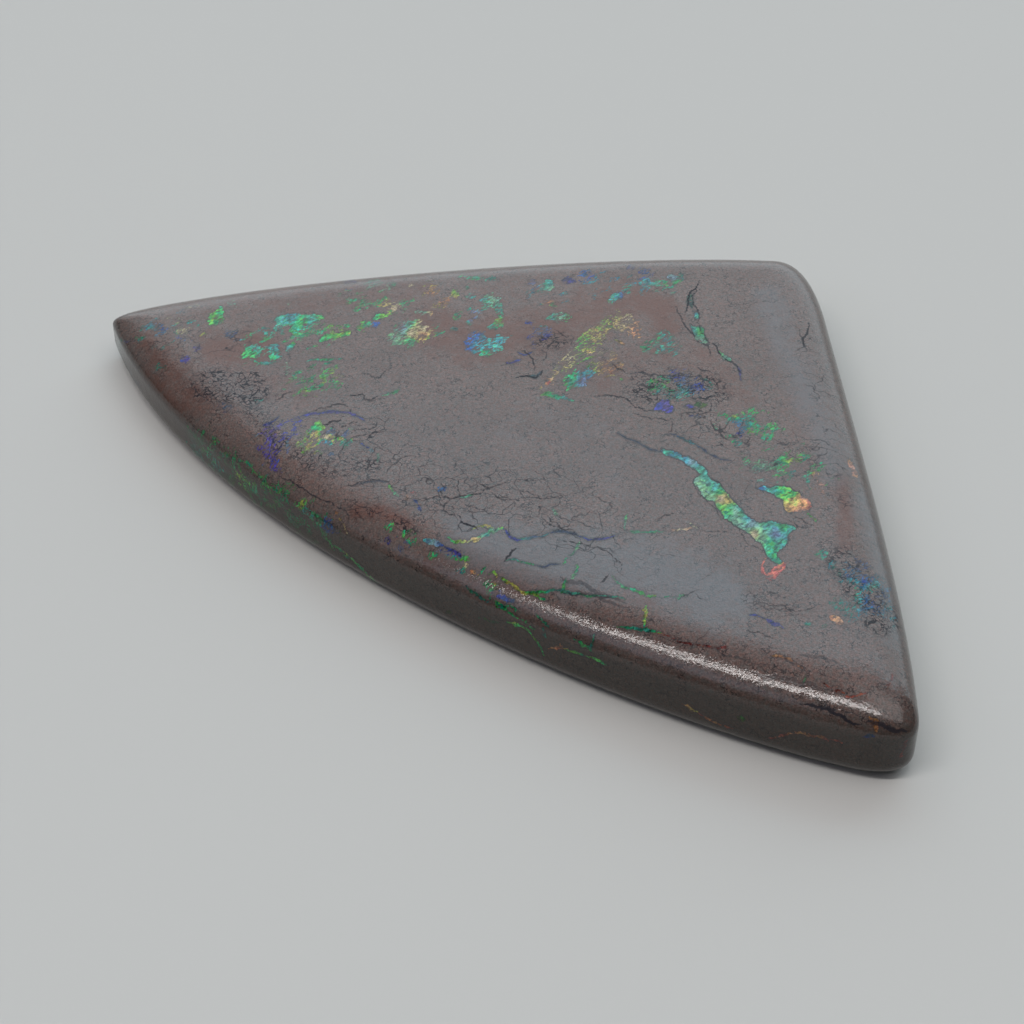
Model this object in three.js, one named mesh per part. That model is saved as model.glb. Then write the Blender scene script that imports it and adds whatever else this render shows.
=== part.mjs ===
// A polished freeform boulder opal: one solid stone, cut as a rounded triangular shield.
// Millimetres, +Z up. The origin is the centre of the bounding box at the flat base, so the
// stone lies on z = 0. +X runs along its length, from the pointed left end to the wide right end.
import * as THREE from 'three';

// The girth seen from above: three long sides joined by three rounded corners. Each corner is a
// quadratic curve about its own point, and each side is a cubic curve with two handles.
const LEFT_CORNER = { from: [-25.55, 17.1], about: [-25.8, 17.8], to: [-22.4, 18.7] };
const BACK_CORNER = { from: [21.3, 22.4], about: [23.3, 22.2], to: [23.8, 15.9] };
const FRONT_CORNER = { from: [25.4, -21.2], about: [25.3, -23.5], to: [21.9, -22.5] };
const BACK_SIDE_HANDLES = [[-11.6, 21.7], [8.7, 23.7]];
const RIGHT_SIDE_HANDLES = [[24.6, 3.1], [25.9, -11.2]];
const FRONT_SIDE_HANDLES = [[9.7, -18.7], [-18.8, -2.6]];

// The section from the girth inwards, the same all the way round. The centre is the middle of the
// largest circle that fits the girth.
const CENTRE = [7.2, 4.9];
const INSCRIBED_RADIUS = 17.5;
const RIM_HEIGHT = 4.75;
const BASE_ROLL_IN = 1.2;
const BASE_ROLL_UP = 1.4;
const SHOULDER_IN = 3.0;
const SHOULDER_DOWN = 1.7;

// The low crown rises most near the centre and dies away towards the three long sides, which it
// meets at this reach. Each side faces outwards at its own angle, in degrees from +X.
const CROWN_RISE = 1.0;
const CROWN_REACH = 18.5;
const SIDE_ANGLES = { back: 93, right: 4, front: 234 };

// The stone thins out towards its pointed left end: this is the change of thickness per millimetre
// of X, as a share of the thickness at the origin.
const TAPER_PER_MM = 0.0075;

// A quarter of a round is drawn by a cubic curve with its handles at this share of the radius.
const ROUND_HANDLE = 0.5523;

// How finely the curves are cut into flat facets.
const CORNER_STEPS = 8;
const SIDE_STEPS = 22;
const ROLL_STEPS = 4;
const SHOULDER_STEPS = 7;
const CROWN_STEPS = 6;

const STONE_COLOUR = 0x5a4a45;
const STONE_ROUGHNESS = 0.25;

function vector(pair) {
  return new THREE.Vector2(pair[0], pair[1]);
}

function cornerCurve(corner) {
  return new THREE.QuadraticBezierCurve(vector(corner.from), vector(corner.about), vector(corner.to));
}

function sideCurve(start, handles, end) {
  const [first, last] = handles.map(vector);
  return new THREE.CubicBezierCurve(vector(start.to), first, last, vector(end.from));
}

// Points along a chain of curves. Each curve leaves its last point to the next one.
function chainPoints(pieces) {
  const points = [];
  for (const { curve, steps } of pieces) {
    points.push(...curve.getPoints(steps).slice(0, steps));
  }
  return points;
}

// The girth as a closed ring of points, clockwise seen from above.
function girthPoints() {
  return chainPoints([
    { curve: cornerCurve(LEFT_CORNER), steps: CORNER_STEPS },
    { curve: sideCurve(LEFT_CORNER, BACK_SIDE_HANDLES, BACK_CORNER), steps: SIDE_STEPS },
    { curve: cornerCurve(BACK_CORNER), steps: CORNER_STEPS },
    { curve: sideCurve(BACK_CORNER, RIGHT_SIDE_HANDLES, FRONT_CORNER), steps: SIDE_STEPS },
    { curve: cornerCurve(FRONT_CORNER), steps: CORNER_STEPS },
    { curve: sideCurve(FRONT_CORNER, FRONT_SIDE_HANDLES, LEFT_CORNER), steps: SIDE_STEPS },
  ]);
}

// The section, with x as the inset from the girth and y as the height at the rim: from the edge of
// the flat base round the base roll, up the wall, over the shoulder and level to the centre.
function sectionPoints() {
  const baseRoll = new THREE.CubicBezierCurve(
    new THREE.Vector2(BASE_ROLL_IN, 0),
    new THREE.Vector2(BASE_ROLL_IN * (1 - ROUND_HANDLE), 0),
    new THREE.Vector2(0, BASE_ROLL_UP * (1 - ROUND_HANDLE)),
    new THREE.Vector2(0, BASE_ROLL_UP),
  );
  const shoulder = new THREE.CubicBezierCurve(
    new THREE.Vector2(0, RIM_HEIGHT - SHOULDER_DOWN),
    new THREE.Vector2(0, RIM_HEIGHT - SHOULDER_DOWN * (1 - ROUND_HANDLE)),
    new THREE.Vector2(SHOULDER_IN * (1 - ROUND_HANDLE), RIM_HEIGHT),
    new THREE.Vector2(SHOULDER_IN, RIM_HEIGHT),
  );
  const wall = new THREE.LineCurve(baseRoll.v3, shoulder.v0);
  const top = new THREE.LineCurve(shoulder.v3, new THREE.Vector2(INSCRIBED_RADIUS, RIM_HEIGHT));
  return chainPoints([
    { curve: baseRoll, steps: ROLL_STEPS },
    { curve: wall, steps: 1 },
    { curve: shoulder, steps: SHOULDER_STEPS },
    { curve: top, steps: CROWN_STEPS },
  ]);
}

// How much thicker the stone is at a point of its plan than at the origin's rim: the taper, and
// the crown as the product of its falls towards the three sides.
function thicknessShare(point) {
  let crown = CROWN_RISE / RIM_HEIGHT;
  for (const angle of Object.values(SIDE_ANGLES)) {
    const outwards = vector([1, 0]).rotateAround(vector([0, 0]), THREE.MathUtils.degToRad(angle));
    crown *= 1 - point.clone().sub(vector(CENTRE)).dot(outwards) / CROWN_REACH;
  }
  return 1 + TAPER_PER_MM * point.x + crown;
}

// Each level of the stone is the girth drawn in towards the centre, so it keeps the girth's rounded
// corners, and its inset from the long sides is close to the section's own.
function stoneGeometry() {
  const girth = girthPoints();
  const section = sectionPoints();
  const centre = vector(CENTRE);
  const positions = [];
  const faces = [];
  const addPoint = (point, height) => {
    positions.push(point.x, point.y, height * thicknessShare(point));
  };

  for (const { x: inset, y: height } of section) {
    for (const point of girth) {
      addPoint(centre.clone().lerp(point, 1 - inset / INSCRIBED_RADIUS), height);
    }
  }
  const baseCentre = positions.length / 3;
  addPoint(centre, 0);
  const topCentre = baseCentre + 1;
  addPoint(centre, RIM_HEIGHT);

  const count = girth.length;
  const lastLevel = (section.length - 1) * count;
  for (let i = 0; i < count; i += 1) {
    const next = (i + 1) % count;
    faces.push(baseCentre, i, next);
    for (let level = 0; level < lastLevel; level += count) {
      faces.push(level + i, level + count + i, level + count + next);
      faces.push(level + i, level + count + next, level + next);
    }
    faces.push(lastLevel + i, topCentre, lastLevel + next);
  }

  const geometry = new THREE.BufferGeometry();
  geometry.setAttribute('position', new THREE.Float32BufferAttribute(positions, 3));
  geometry.setIndex(faces);
  geometry.computeVertexNormals();
  return geometry;
}

const stone = new THREE.Mesh(
  stoneGeometry(),
  new THREE.MeshStandardMaterial({ color: STONE_COLOUR, roughness: STONE_ROUGHNESS, metalness: 0 }),
);
stone.name = 'boulder_opal';

const part = new THREE.Group();
part.add(stone);

export default part;
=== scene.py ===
"""A polished freeform boulder opal, lying on a plain pale floor under soft studio light.

The stone is one piece. Its skin is drawn from the same driving dimensions as its solid, and its
opal seams, crack lines and zones of colour are laid on that skin as measured distances, which the
finish turns into colour. Some of them are painted light: the wide dark streaks on the front
shoulder are painted reflections, partly scratches, a faint bluish band at the left tip is a painted
reflection, and the grey-blue zones are partly a painted reflected sheen. The finish also paints
shade on the shoulder and the wall. A marking's path is given in pixels of the photograph's frame,
and its width in millimetres.
"""
import logging
import math
from dataclasses import dataclass
from enum import Enum

import bpy
import numpy as np
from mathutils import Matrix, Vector, geometry
from mathutils.bvhtree import BVHTree


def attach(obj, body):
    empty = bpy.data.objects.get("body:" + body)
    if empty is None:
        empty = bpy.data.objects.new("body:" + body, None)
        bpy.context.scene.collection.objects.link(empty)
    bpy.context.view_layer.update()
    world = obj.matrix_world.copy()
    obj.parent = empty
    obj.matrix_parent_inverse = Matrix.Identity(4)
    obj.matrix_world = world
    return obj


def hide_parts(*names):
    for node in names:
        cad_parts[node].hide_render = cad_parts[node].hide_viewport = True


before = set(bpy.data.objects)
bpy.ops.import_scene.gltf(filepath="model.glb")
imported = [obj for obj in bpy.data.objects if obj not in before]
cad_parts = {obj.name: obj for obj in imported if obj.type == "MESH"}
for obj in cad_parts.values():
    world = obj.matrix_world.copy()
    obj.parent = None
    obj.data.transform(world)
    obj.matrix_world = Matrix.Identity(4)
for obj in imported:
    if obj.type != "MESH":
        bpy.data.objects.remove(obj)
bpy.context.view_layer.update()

LOG = logging.getLogger("boulder_opal")

Point = tuple[float, float]
Path = tuple[Point, ...]
Colour = tuple[float, float, float]
Layers = dict[str, np.ndarray]
Socket = bpy.types.NodeSocket
SocketPair = tuple[Socket, Socket]

MM = 0.001
TINY = 1e-9
HEX_ROW = math.sqrt(0.75)
FLECK_TAPER = 0.8


@dataclass(frozen=True)
class PhotoView:
    """The photograph's viewpoint, in millimetres, looking along +Y and down at the stone."""

    frame_pixels: float = 1024.0
    focal_pixels: float = 2306.0
    pitch: float = math.radians(42.0)
    distance: float = 150.0
    target: tuple[float, float, float] = (2.23, 0.645, 0.0)
    sensor: float = 36.0
    nearest: float = 10.0

    @property
    def pixels_per_mm(self) -> float:
        """The photograph's scale at the target."""
        return self.focal_pixels / self.distance

    def forward(self) -> np.ndarray:
        """The direction in which the camera looks."""
        return np.array([0.0, math.cos(self.pitch), -math.sin(self.pitch)])

    def up(self) -> np.ndarray:
        """The direction of the top of the picture."""
        return np.array([0.0, math.sin(self.pitch), math.cos(self.pitch)])

    def position(self) -> np.ndarray:
        """The place of the camera's lens."""
        return np.array(self.target) - self.distance * self.forward()

    def pixels(self, points: np.ndarray) -> np.ndarray:
        """Finds where points of the stone show in the photograph's frame.

        Args:
            points: An array of N places, in millimetres.

        Returns:
            An array of N pixel coordinates.
        """
        offset = points - self.position()
        depth = offset @ self.forward()
        half = self.frame_pixels / 2
        across = half + self.focal_pixels * offset[:, 0] / depth
        down = half - self.focal_pixels * (offset @ self.up()) / depth
        return np.stack([across, down], axis=1)

    def build(self) -> bpy.types.Object:
        """Makes the camera and gives it to the scene.

        Returns:
            The camera object.
        """
        data = bpy.data.cameras.new("camera")
        data.sensor_width = self.sensor
        data.lens = self.focal_pixels / self.frame_pixels * self.sensor
        data.clip_start = self.nearest * MM
        camera = bpy.data.objects.new("camera", data)
        camera.location = Vector(self.position() * MM)
        camera.rotation_euler = (math.pi / 2 - self.pitch, 0.0, 0.0)
        bpy.context.scene.collection.objects.link(camera)
        bpy.context.scene.camera = camera
        return camera


def bezier(points: tuple[Point, ...], steps: int) -> np.ndarray:
    """Samples a quadratic or cubic curve, without its last point.

    Args:
        points: The three or four points that draw the curve.
        steps: How many points to take.

    Returns:
        An array of the sampled points.
    """
    share = np.linspace(0.0, 1.0, steps, endpoint=False)[:, None]
    degree = len(points) - 1
    curve = np.zeros((steps, 2))
    for k, point in enumerate(points):
        weight = math.comb(degree, k) * share**k * (1 - share) ** (degree - k)
        curve += weight * np.array(point)
    return curve


@dataclass(frozen=True)
class StoneForm:
    """The stone's shape in millimetres: a rounded triangular girth and one section all round it."""

    left_corner: Path = ((-25.55, 17.1), (-25.8, 17.8), (-22.4, 18.7))
    back_corner: Path = ((21.3, 22.4), (23.3, 22.2), (23.8, 15.9))
    front_corner: Path = ((25.4, -21.2), (25.3, -23.5), (21.9, -22.5))
    back_side_handles: Path = ((-11.6, 21.7), (8.7, 23.7))
    right_side_handles: Path = ((24.6, 3.1), (25.9, -11.2))
    front_side_handles: Path = ((9.7, -18.7), (-18.8, -2.6))
    centre: Point = (7.2, 4.9)
    inscribed_radius: float = 17.5
    rim_height: float = 4.75
    base_roll_in: float = 1.2
    base_roll_up: float = 1.4
    shoulder_in: float = 3.0
    shoulder_down: float = 1.7
    crown_rise: float = 1.0
    crown_reach: float = 18.5
    side_angles: tuple[float, float, float] = (93.0, 4.0, 234.0)
    taper_per_mm: float = 0.0075
    round_handle: float = 0.5523
    corner_steps: int = 60
    side_steps: int = 300
    section_steps: int = 60

    def girth(self) -> np.ndarray:
        """The girth seen from above, as a fine ring of points that runs clockwise."""
        left, back, front = self.left_corner, self.back_corner, self.front_corner
        return np.concatenate([
            bezier(left, self.corner_steps),
            bezier((left[-1], *self.back_side_handles, back[0]), self.side_steps),
            bezier(back, self.corner_steps),
            bezier((back[-1], *self.right_side_handles, front[0]), self.side_steps),
            bezier(front, self.corner_steps),
            bezier((front[-1], *self.front_side_handles, left[0]), self.side_steps),
        ])

    def section(self) -> np.ndarray:
        """The section from the centre outwards: level top, shoulder, wall and base roll.

        Returns:
            An array of points, each an inset from the girth and a height at the rim.
        """
        rim, handle = self.rim_height, 1 - self.round_handle
        shoulder = (
            (self.shoulder_in, rim),
            (self.shoulder_in * handle, rim),
            (0.0, rim - self.shoulder_down * handle),
            (0.0, rim - self.shoulder_down),
        )
        base_roll = (
            (0.0, self.base_roll_up),
            (0.0, self.base_roll_up * handle),
            (self.base_roll_in * handle, 0.0),
            (self.base_roll_in, 0.0),
        )
        return np.concatenate([
            [(self.inscribed_radius, rim)],
            bezier(shoulder, self.section_steps),
            bezier(base_roll, self.section_steps),
            [(self.base_roll_in, 0.0)],
        ])

    def thickness_share(self, plan: np.ndarray) -> np.ndarray:
        """Gives the local thickness, as a share of the thickness of the origin's rim.

        Args:
            plan: An array of N places in plan.

        Returns:
            An array of N shares: the taper and the low crown together.
        """
        crown = np.full(len(plan), self.crown_rise / self.rim_height)
        for angle in np.radians(self.side_angles):
            outwards = (plan - self.centre) @ np.array([math.cos(angle), math.sin(angle)])
            crown *= 1 - outwards / self.crown_reach
        return 1 + self.taper_per_mm * plan[:, 0] + crown


class StoneSkin:
    """The stone's skin laid out as a flat sheet: the crown as in plan, the wall spread round it.

    A place on the sheet keeps its bearing from the centre. Its distance from the centre is the
    distance that the section has run by then, along the crown and down the wall.
    """

    EDGE_SAMPLES = 4000

    def __init__(self, form: StoneForm) -> None:
        """Measures the girth and the section.

        Args:
            form: The stone's shape.
        """
        self.form = form
        self.centre = np.array(form.centre)
        _, radii, bearings = self.polar(form.girth())
        order = np.argsort(bearings)
        self._bearings = bearings[order]
        self._radii = radii[order]
        self._section = form.section()
        steps = np.hypot(*np.diff(self._section, axis=0).T)
        self._run = np.concatenate([[0.0], np.cumsum(steps)])

    @property
    def reach(self) -> float:
        """How far the section runs from the centre to the edge of the flat base."""
        return float(self._run[-1])

    def polar(self, plan: np.ndarray) -> tuple[np.ndarray, np.ndarray, np.ndarray]:
        """The offset, distance and bearing of places from the centre."""
        offset = plan - self.centre
        return offset, np.hypot(offset[:, 0], offset[:, 1]), np.arctan2(offset[:, 1], offset[:, 0])

    def radius(self, bearing: np.ndarray) -> np.ndarray:
        """The distance from the centre to the girth at each bearing."""
        return np.interp(bearing, self._bearings, self._radii, period=2 * math.pi)

    def run(self, sheet: np.ndarray) -> np.ndarray:
        """How far the section has run at each place of the sheet."""
        _, distance, bearing = self.polar(sheet)
        return distance / self.radius(bearing) * self.form.inscribed_radius

    def place(self, sheet: np.ndarray) -> np.ndarray:
        """Puts places of the sheet where they are on the stone.

        Args:
            sheet: An array of N places on the sheet.

        Returns:
            An array of N points of the stone's skin, in millimetres.
        """
        offset, distance, bearing = self.polar(sheet)
        distance = np.maximum(distance, TINY)
        radius = self.radius(bearing)
        run = distance / radius * self.form.inscribed_radius
        inset = np.interp(run, self._run, self._section[:, 0])
        height = np.interp(run, self._run, self._section[:, 1])
        drawn_in = 1 - inset / self.form.inscribed_radius
        plan = self.centre + offset * (radius / distance * drawn_in)[:, None]
        return np.column_stack([plan, height * self.form.thickness_share(plan)])

    def wall_shade(self, points: np.ndarray) -> np.ndarray:
        """How far each point is down the shoulder, which sets the painted shade: 0 on the crown and 1 on the
        wall and the base.
        """
        height = points[:, 2] / self.form.thickness_share(points[:, :2]) / self.form.rim_height
        lowest = 1 - self.form.shoulder_down / self.form.rim_height
        return np.clip((1 - height) / (1 - lowest), 0.0, 1.0)

    def edge(self, spacing: float) -> np.ndarray:
        """The sheet's outer edge as an even ring of points, anticlockwise.

        Args:
            spacing: The distance between the ring's points.

        Returns:
            An array of places on the sheet.
        """
        bearing = np.linspace(-math.pi, math.pi, self.EDGE_SAMPLES, endpoint=False)
        radius = self.radius(bearing) * self.reach / self.form.inscribed_radius
        ring = self.centre + np.stack([np.cos(bearing), np.sin(bearing)], axis=1) * radius[:, None]
        closed = np.concatenate([ring, ring[:1]])
        run = np.concatenate([[0.0], np.cumsum(np.hypot(*np.diff(closed, axis=0).T))])
        even = np.linspace(0.0, run[-1], int(run[-1] / spacing), endpoint=False)
        return np.stack([np.interp(even, run, closed[:, k]) for k in (0, 1)], axis=1)


class Hue(Enum):
    """The colours that the opal flashes: a place in the spectrum and a share of milkiness."""

    RED = (0.0, 0.0)
    SALMON = (0.06, 0.35)
    ORANGE = (0.14, 0.05)
    CREAM = (0.24, 0.6)
    YELLOW = (0.29, 0.1)
    LIME = (0.38, 0.0)
    GREEN = (0.46, 0.0)
    MINT = (0.5, 0.45)
    TEAL = (0.55, 0.1)
    CYAN = (0.62, 0.05)
    SKY = (0.68, 0.4)
    BLUE = (0.76, 0.0)
    SLATE = (0.78, 0.3)
    INDIGO = (0.86, 0.0)
    VIOLET = (0.95, 0.05)

    @classmethod
    def named(cls, name: str) -> tuple[float, float]:
        """The value of the hue with this name, given in small letters."""
        return cls[name.upper()].value


@dataclass(frozen=True)
class Seam:
    """A seam or fleck of opal in the ironstone.

    Attributes:
        hues: Names of the hues that it passes through, from end to end.
        width: Its full width at the middle, in millimetres.
        path: Its course, in pixels of the photograph's frame.
        glow: How brightly it flashes, from 0 to 1.
        lace: How far the ironstone shows through it, from 0, solid, to 1, lacy.
        taper: The share of its width that is left at its ends.
    """

    hues: str
    width: float
    path: Path
    glow: float = 0.7
    lace: float = 0.3
    taper: float = 0.35

    def spectrum(self) -> np.ndarray:
        """The hues as rows of a place in the spectrum and a milkiness."""
        return np.array([Hue.named(name) for name in self.hues.split()])


def fleck(hues: str, at: Point, across: float, down: float, glow: float = 0.7, lace: float = 0.55) -> Seam:
    """Makes a rounded fleck of opal.

    Args:
        hues: Names of its hues.
        at: Its middle, in pixels of the photograph's frame.
        across: Its width as seen, in millimetres.
        down: Its height as seen, in millimetres.
        glow: How brightly it flashes.
        lace: How far the ironstone shows through it.

    Returns:
        A short seam of that size.
    """
    spare = (across - down) / 2 * PhotoView().pixels_per_mm
    half = (spare, 0.0) if spare > 0 else (0.0, -spare)
    path = ((at[0] - half[0], at[1] - half[1]), (at[0] + half[0], at[1] + half[1]))
    return Seam(hues, min(across, down), path, glow, lace, FLECK_TAPER)


@dataclass(frozen=True)
class Patch:
    """A patch of opal with an outline of its own.

    Attributes:
        outline: The corners of its outline, in pixels of the photograph's frame.
        spots: The hues in it, each with the pixel at which it is purest.
        glow: How brightly it flashes, from 0 to 1.
        lace: How far the ironstone shows through it, from 0, solid, to 1, lacy.
        blur: How wide a spot's pure middle is, in pixels.
        sharpness: How steeply a spot's hold on the hue falls with the distance from it.
    """

    outline: Path
    spots: tuple[tuple[str, Point], ...]
    glow: float = 0.8
    lace: float = 0.3
    blur: float = 1.0
    sharpness: int = 3

    def spectrum(self, pixels: np.ndarray) -> np.ndarray:
        """Blends the spots' hues at each pixel.

        Args:
            pixels: An array of N pixel coordinates.

        Returns:
            An array of N rows of a place in the spectrum and a milkiness.
        """
        places = np.array([place for _, place in self.spots], dtype=float)
        values = np.array([Hue.named(name) for name, _ in self.spots])
        distance = np.linalg.norm(pixels[:, None, :] - places[None], axis=2)
        weight = 1 / (distance + self.blur) ** self.sharpness
        return weight @ values / weight.sum(axis=1, keepdims=True)


@dataclass(frozen=True)
class Crack:
    """A dark line: a hairline in the ironstone, open or filled with dark clay, and on the front shoulder a
    painted dark reflection streak.

    Attributes:
        path: Its course, in pixels of the photograph's frame.
        width: Its full width, in millimetres.
        depth: How dark it is, from 0 to 1.
        taper: The share of its width that is left at its ends.
    """

    path: Path
    width: float = 0.09
    depth: float = 0.8
    taper: float = 0.3


class Tint(Enum):
    """The kinds of zone in the ironstone, each held as a layer of its own on the mesh."""

    RUST = "rust"
    # Grey-blue zones: partly ashy ironstone, partly a painted reflected sheen of the window light.
    ASH = "ash"
    DARK = "dark"
    CRACKLE = "crackle"
    WEB = "web"
    FLECKS = "flecks"


@dataclass(frozen=True)
class Zone:
    """A soft-edged zone of the ironstone.

    Attributes:
        tint: What the zone is made of; the grey-blue zones are partly a painted reflected sheen.
        path: The line along its middle, in pixels of the photograph's frame.
        reach: How far it spreads from that line, in millimetres as seen.
        strength: How strong it is in the middle, from 0 to 1.
        hue: The hue of its flecks, where it has any.
        hidden: True where it lies on skin that the photograph's viewpoint doesn't see.
    """

    tint: Tint
    path: Path
    reach: float
    strength: float = 1.0
    hue: str = "green"
    hidden: bool = False


LEFT_TIP_PATCHES = (
    Patch(
        ((207, 322), (210, 314), (216, 311), (221, 304), (224, 314), (223, 322), (216, 326)),
        (("lime", (214, 317)), ("green", (220, 309)), ("green", (218, 323))),
        0.8, 0.45,
    ),
    Patch(
        ((147, 328), (152, 323), (163, 324), (165, 329), (156, 332)),
        (("cyan", (150, 327)), ("sky", (156, 326)), ("blue", (163, 328))),
        0.55, 0.5,
    ),
)
LEFT_TIP_OPAL = (
    fleck("mint", (232, 305), 0.7, 0.4, 0.5, 0.8),
    Seam("cream", 0.11, ((186, 307), (197, 305), (208, 306)), 0.4, 0.5),
    Seam("cream", 0.13, ((164, 319), (172, 317), (179, 318)), 0.4, 0.5),
    Seam("cream", 0.11, ((181, 331), (186, 333), (191, 331)), 0.4, 0.5),
    Seam("yellow lime", 0.13, ((199, 337), (203, 333), (206, 334)), 0.5),
    fleck("sky", (181, 312), 0.6, 0.3, 0.4, 0.8),
    fleck("blue", (184, 339), 0.6, 0.4, 0.6, 0.7),
    fleck("violet", (197, 348), 0.6, 0.35, 0.4, 0.8),
    fleck("indigo", (185, 360), 0.8, 0.55, 0.8, 0.5),
    fleck("teal", (161, 368), 0.9, 0.6, 0.35, 0.8),
    fleck("slate", (231, 334), 1.0, 0.6, 0.3, 0.7),
    fleck("slate", (127, 341), 0.3, 0.3, 0.3),
)
GREEN_PATCHES = (
    Patch(
        (
            (273, 322), (277, 316), (288, 314), (304, 314), (322, 314), (324, 318), (314, 322),
            (306, 325), (300, 331), (294, 335), (289, 332), (292, 325), (283, 324),
        ),
        (
            ("teal", (280, 320)), ("green", (290, 331)), ("cyan", (291, 317)), ("green", (302, 321)),
            ("teal", (311, 317)), ("green", (321, 315)),
        ),
        1.0, 0.42,
    ),
    Patch(
        ((241, 355), (246, 347), (253, 344), (261, 346), (262, 353), (257, 359), (249, 359)),
        (("green", (246, 352)), ("teal", (256, 347)), ("green", (253, 356))),
        0.95, 0.5,
    ),
    Patch(
        ((269, 345), (277, 344), (280, 351), (282, 357), (276, 361), (270, 361), (269, 354)),
        (("cyan", (273, 347)), ("teal", (276, 353)), ("green", (275, 359))),
        0.85, 0.5,
    ),
    Patch(
        ((284, 349), (288, 344), (294, 341), (296, 344), (288, 352)),
        (("green", (293, 343)), ("teal", (287, 350))),
        0.9, 0.4,
    ),
    Patch(
        (
            (318, 339), (324, 335), (337, 333), (344, 332), (350, 330), (351, 334), (338, 337), (325, 342),
            (319, 343),
        ),
        (("green", (322, 340)), ("lime", (334, 336)), ("lime", (347, 332))),
        0.85, 0.3,
    ),
    Patch(
        ((371, 319), (376, 314), (385, 312), (387, 316), (378, 320)),
        (("green", (374, 317)), ("lime", (383, 314))),
        1.0, 0.25,
    ),
    Patch(
        ((357, 327), (361, 321), (368, 319), (372, 322), (366, 328), (360, 332)),
        (("green", (366, 323)), ("lime", (361, 328))),
        0.65, 0.65,
    ),
)
GREEN_OPAL = (
    Seam("teal green", 0.2, ((260, 331), (267, 333), (265, 339), (260, 343)), 0.7, 0.5),
    Seam("teal", 0.18, ((262, 329), (274, 329), (284, 334)), 0.5, 0.5),
    Seam("green teal green", 0.22, ((250, 359), (258, 363), (267, 363), (276, 361)), 0.65, 0.4),
    fleck("mint", (288, 369), 0.9, 0.7, 0.5, 0.9),
    fleck("green", (300, 378), 0.9, 0.6, 0.4, 0.95),
    fleck("green", (312, 369), 0.9, 0.7, 0.45, 0.95),
    fleck("green lime", (323, 375), 0.55, 0.9, 0.7, 0.7),
    fleck("lime", (332, 373), 0.4, 0.3, 0.6, 0.7),
    fleck("yellow", (338, 374), 0.2, 0.2, 0.6),
    Seam("teal green teal", 0.14, ((306, 362), (316, 359), (328, 360), (344, 360)), 0.55, 0.2),
    Seam("green", 0.12, ((322, 366), (334, 363)), 0.45, 0.4),
    Seam("green lime", 0.16, ((319, 326), (330, 325), (338, 326)), 0.5, 0.6),
    fleck("mint", (288, 304), 0.3, 0.25, 0.4, 0.8),
    Seam("lime", 0.1, ((290, 396), (302, 394), (316, 396)), 0.35, 0.7),
    Seam("green", 0.1, ((296, 384), (306, 380), (316, 383)), 0.35, 0.7),
)
BACK_EDGE_OPAL = (
    fleck("mint", (375, 283), 1.1, 0.35, 0.35, 0.8),
    fleck("mint green", (393, 285), 1.1, 0.4, 0.4, 0.8),
    fleck("cream", (411, 285), 0.5, 0.25, 0.45),
    fleck("violet", (350, 282), 0.9, 0.3, 0.3),
    fleck("green", (365, 300), 0.7, 0.4, 0.35, 0.9),
    fleck("blue", (376, 324), 0.6, 0.5, 0.8, 0.55),
    Seam("yellow cream", 0.13, ((383, 307), (390, 304), (396, 308)), 0.7),
    fleck("mint", (421, 312), 0.8, 0.3, 0.6),
    fleck("cream orange", (431, 313), 0.5, 0.25, 0.7),
    fleck("orange", (437, 294), 0.9, 0.5, 0.4, 0.9),
    fleck("lime yellow", (455, 294), 0.5, 0.7, 0.75, 0.5),
    fleck("orange", (448, 301), 0.5, 0.3, 0.5, 0.8),
    Seam("green teal", 0.22, ((458, 277), (468, 277), (478, 278), (490, 278), (502, 276)), 0.5, 0.5),
    fleck("green", (456, 316), 0.7, 0.4, 0.5, 0.7),
    fleck("teal", (454, 329), 0.6, 0.3, 0.35, 0.7),
    fleck("slate sky", (476, 317), 0.5, 0.35, 0.5),
)
BLUE_PATCHES = (
    Patch(
        (
            (464, 343), (471, 333), (479, 331), (487, 336), (494, 340), (499, 334), (504, 337), (503, 348),
            (493, 353), (484, 356), (473, 354), (466, 349),
        ),
        (
            ("blue", (474, 335)), ("cyan", (486, 342)), ("blue", (469, 346)), ("cyan", (499, 337)),
            ("teal", (497, 349)), ("green", (484, 354)), ("cyan", (477, 350)),
        ),
        1.0, 0.6,
    ),
    Patch(
        ((609, 299), (612, 294), (619, 292), (624, 295), (622, 300), (613, 303)),
        (("teal", (611, 298)), ("cyan", (617, 296)), ("blue", (623, 296))),
        0.9, 0.4,
    ),
    Patch(
        ((543, 284), (547, 280), (553, 281), (555, 287), (552, 291), (545, 290)),
        (("teal", (546, 285)), ("cyan", (550, 283)), ("mint", (552, 288))),
        0.8, 0.4,
    ),
)
BLUE_OPAL = (
    fleck("teal", (546, 293), 0.7, 0.35, 0.4, 0.8),
    fleck("slate", (533, 282), 0.5, 0.35, 0.4),
    fleck("blue", (585, 273), 0.8, 0.7, 0.55, 0.5),
    fleck("violet indigo", (569, 281), 1.0, 0.55, 0.35, 0.5),
    fleck("green", (553, 305), 0.4, 0.4, 0.4, 0.8),
    fleck("orange", (549, 301), 0.5, 0.25, 0.4),
    fleck("indigo", (530, 323), 0.6, 0.2, 0.5),
    fleck("teal", (543, 326), 0.6, 0.25, 0.3),
    fleck("blue", (644, 272), 1.0, 0.45, 0.45, 0.6),
    fleck("cyan", (648, 281), 0.5, 0.35, 0.8),
    fleck("teal green", (660, 284), 1.2, 0.4, 0.6, 0.6),
    fleck("sky", (672, 277), 0.8, 0.35, 0.6, 0.2),
    fleck("teal", (680, 276), 0.6, 0.5, 0.3),
    Seam("teal green", 0.18, ((662, 289), (672, 287), (680, 280)), 0.6),
    fleck("violet", (631, 267), 0.6, 0.3, 0.25),
    fleck("teal", (628, 291), 0.5, 0.4, 0.5),
    fleck("green", (611, 302), 0.4, 0.3, 0.7),
)
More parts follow.
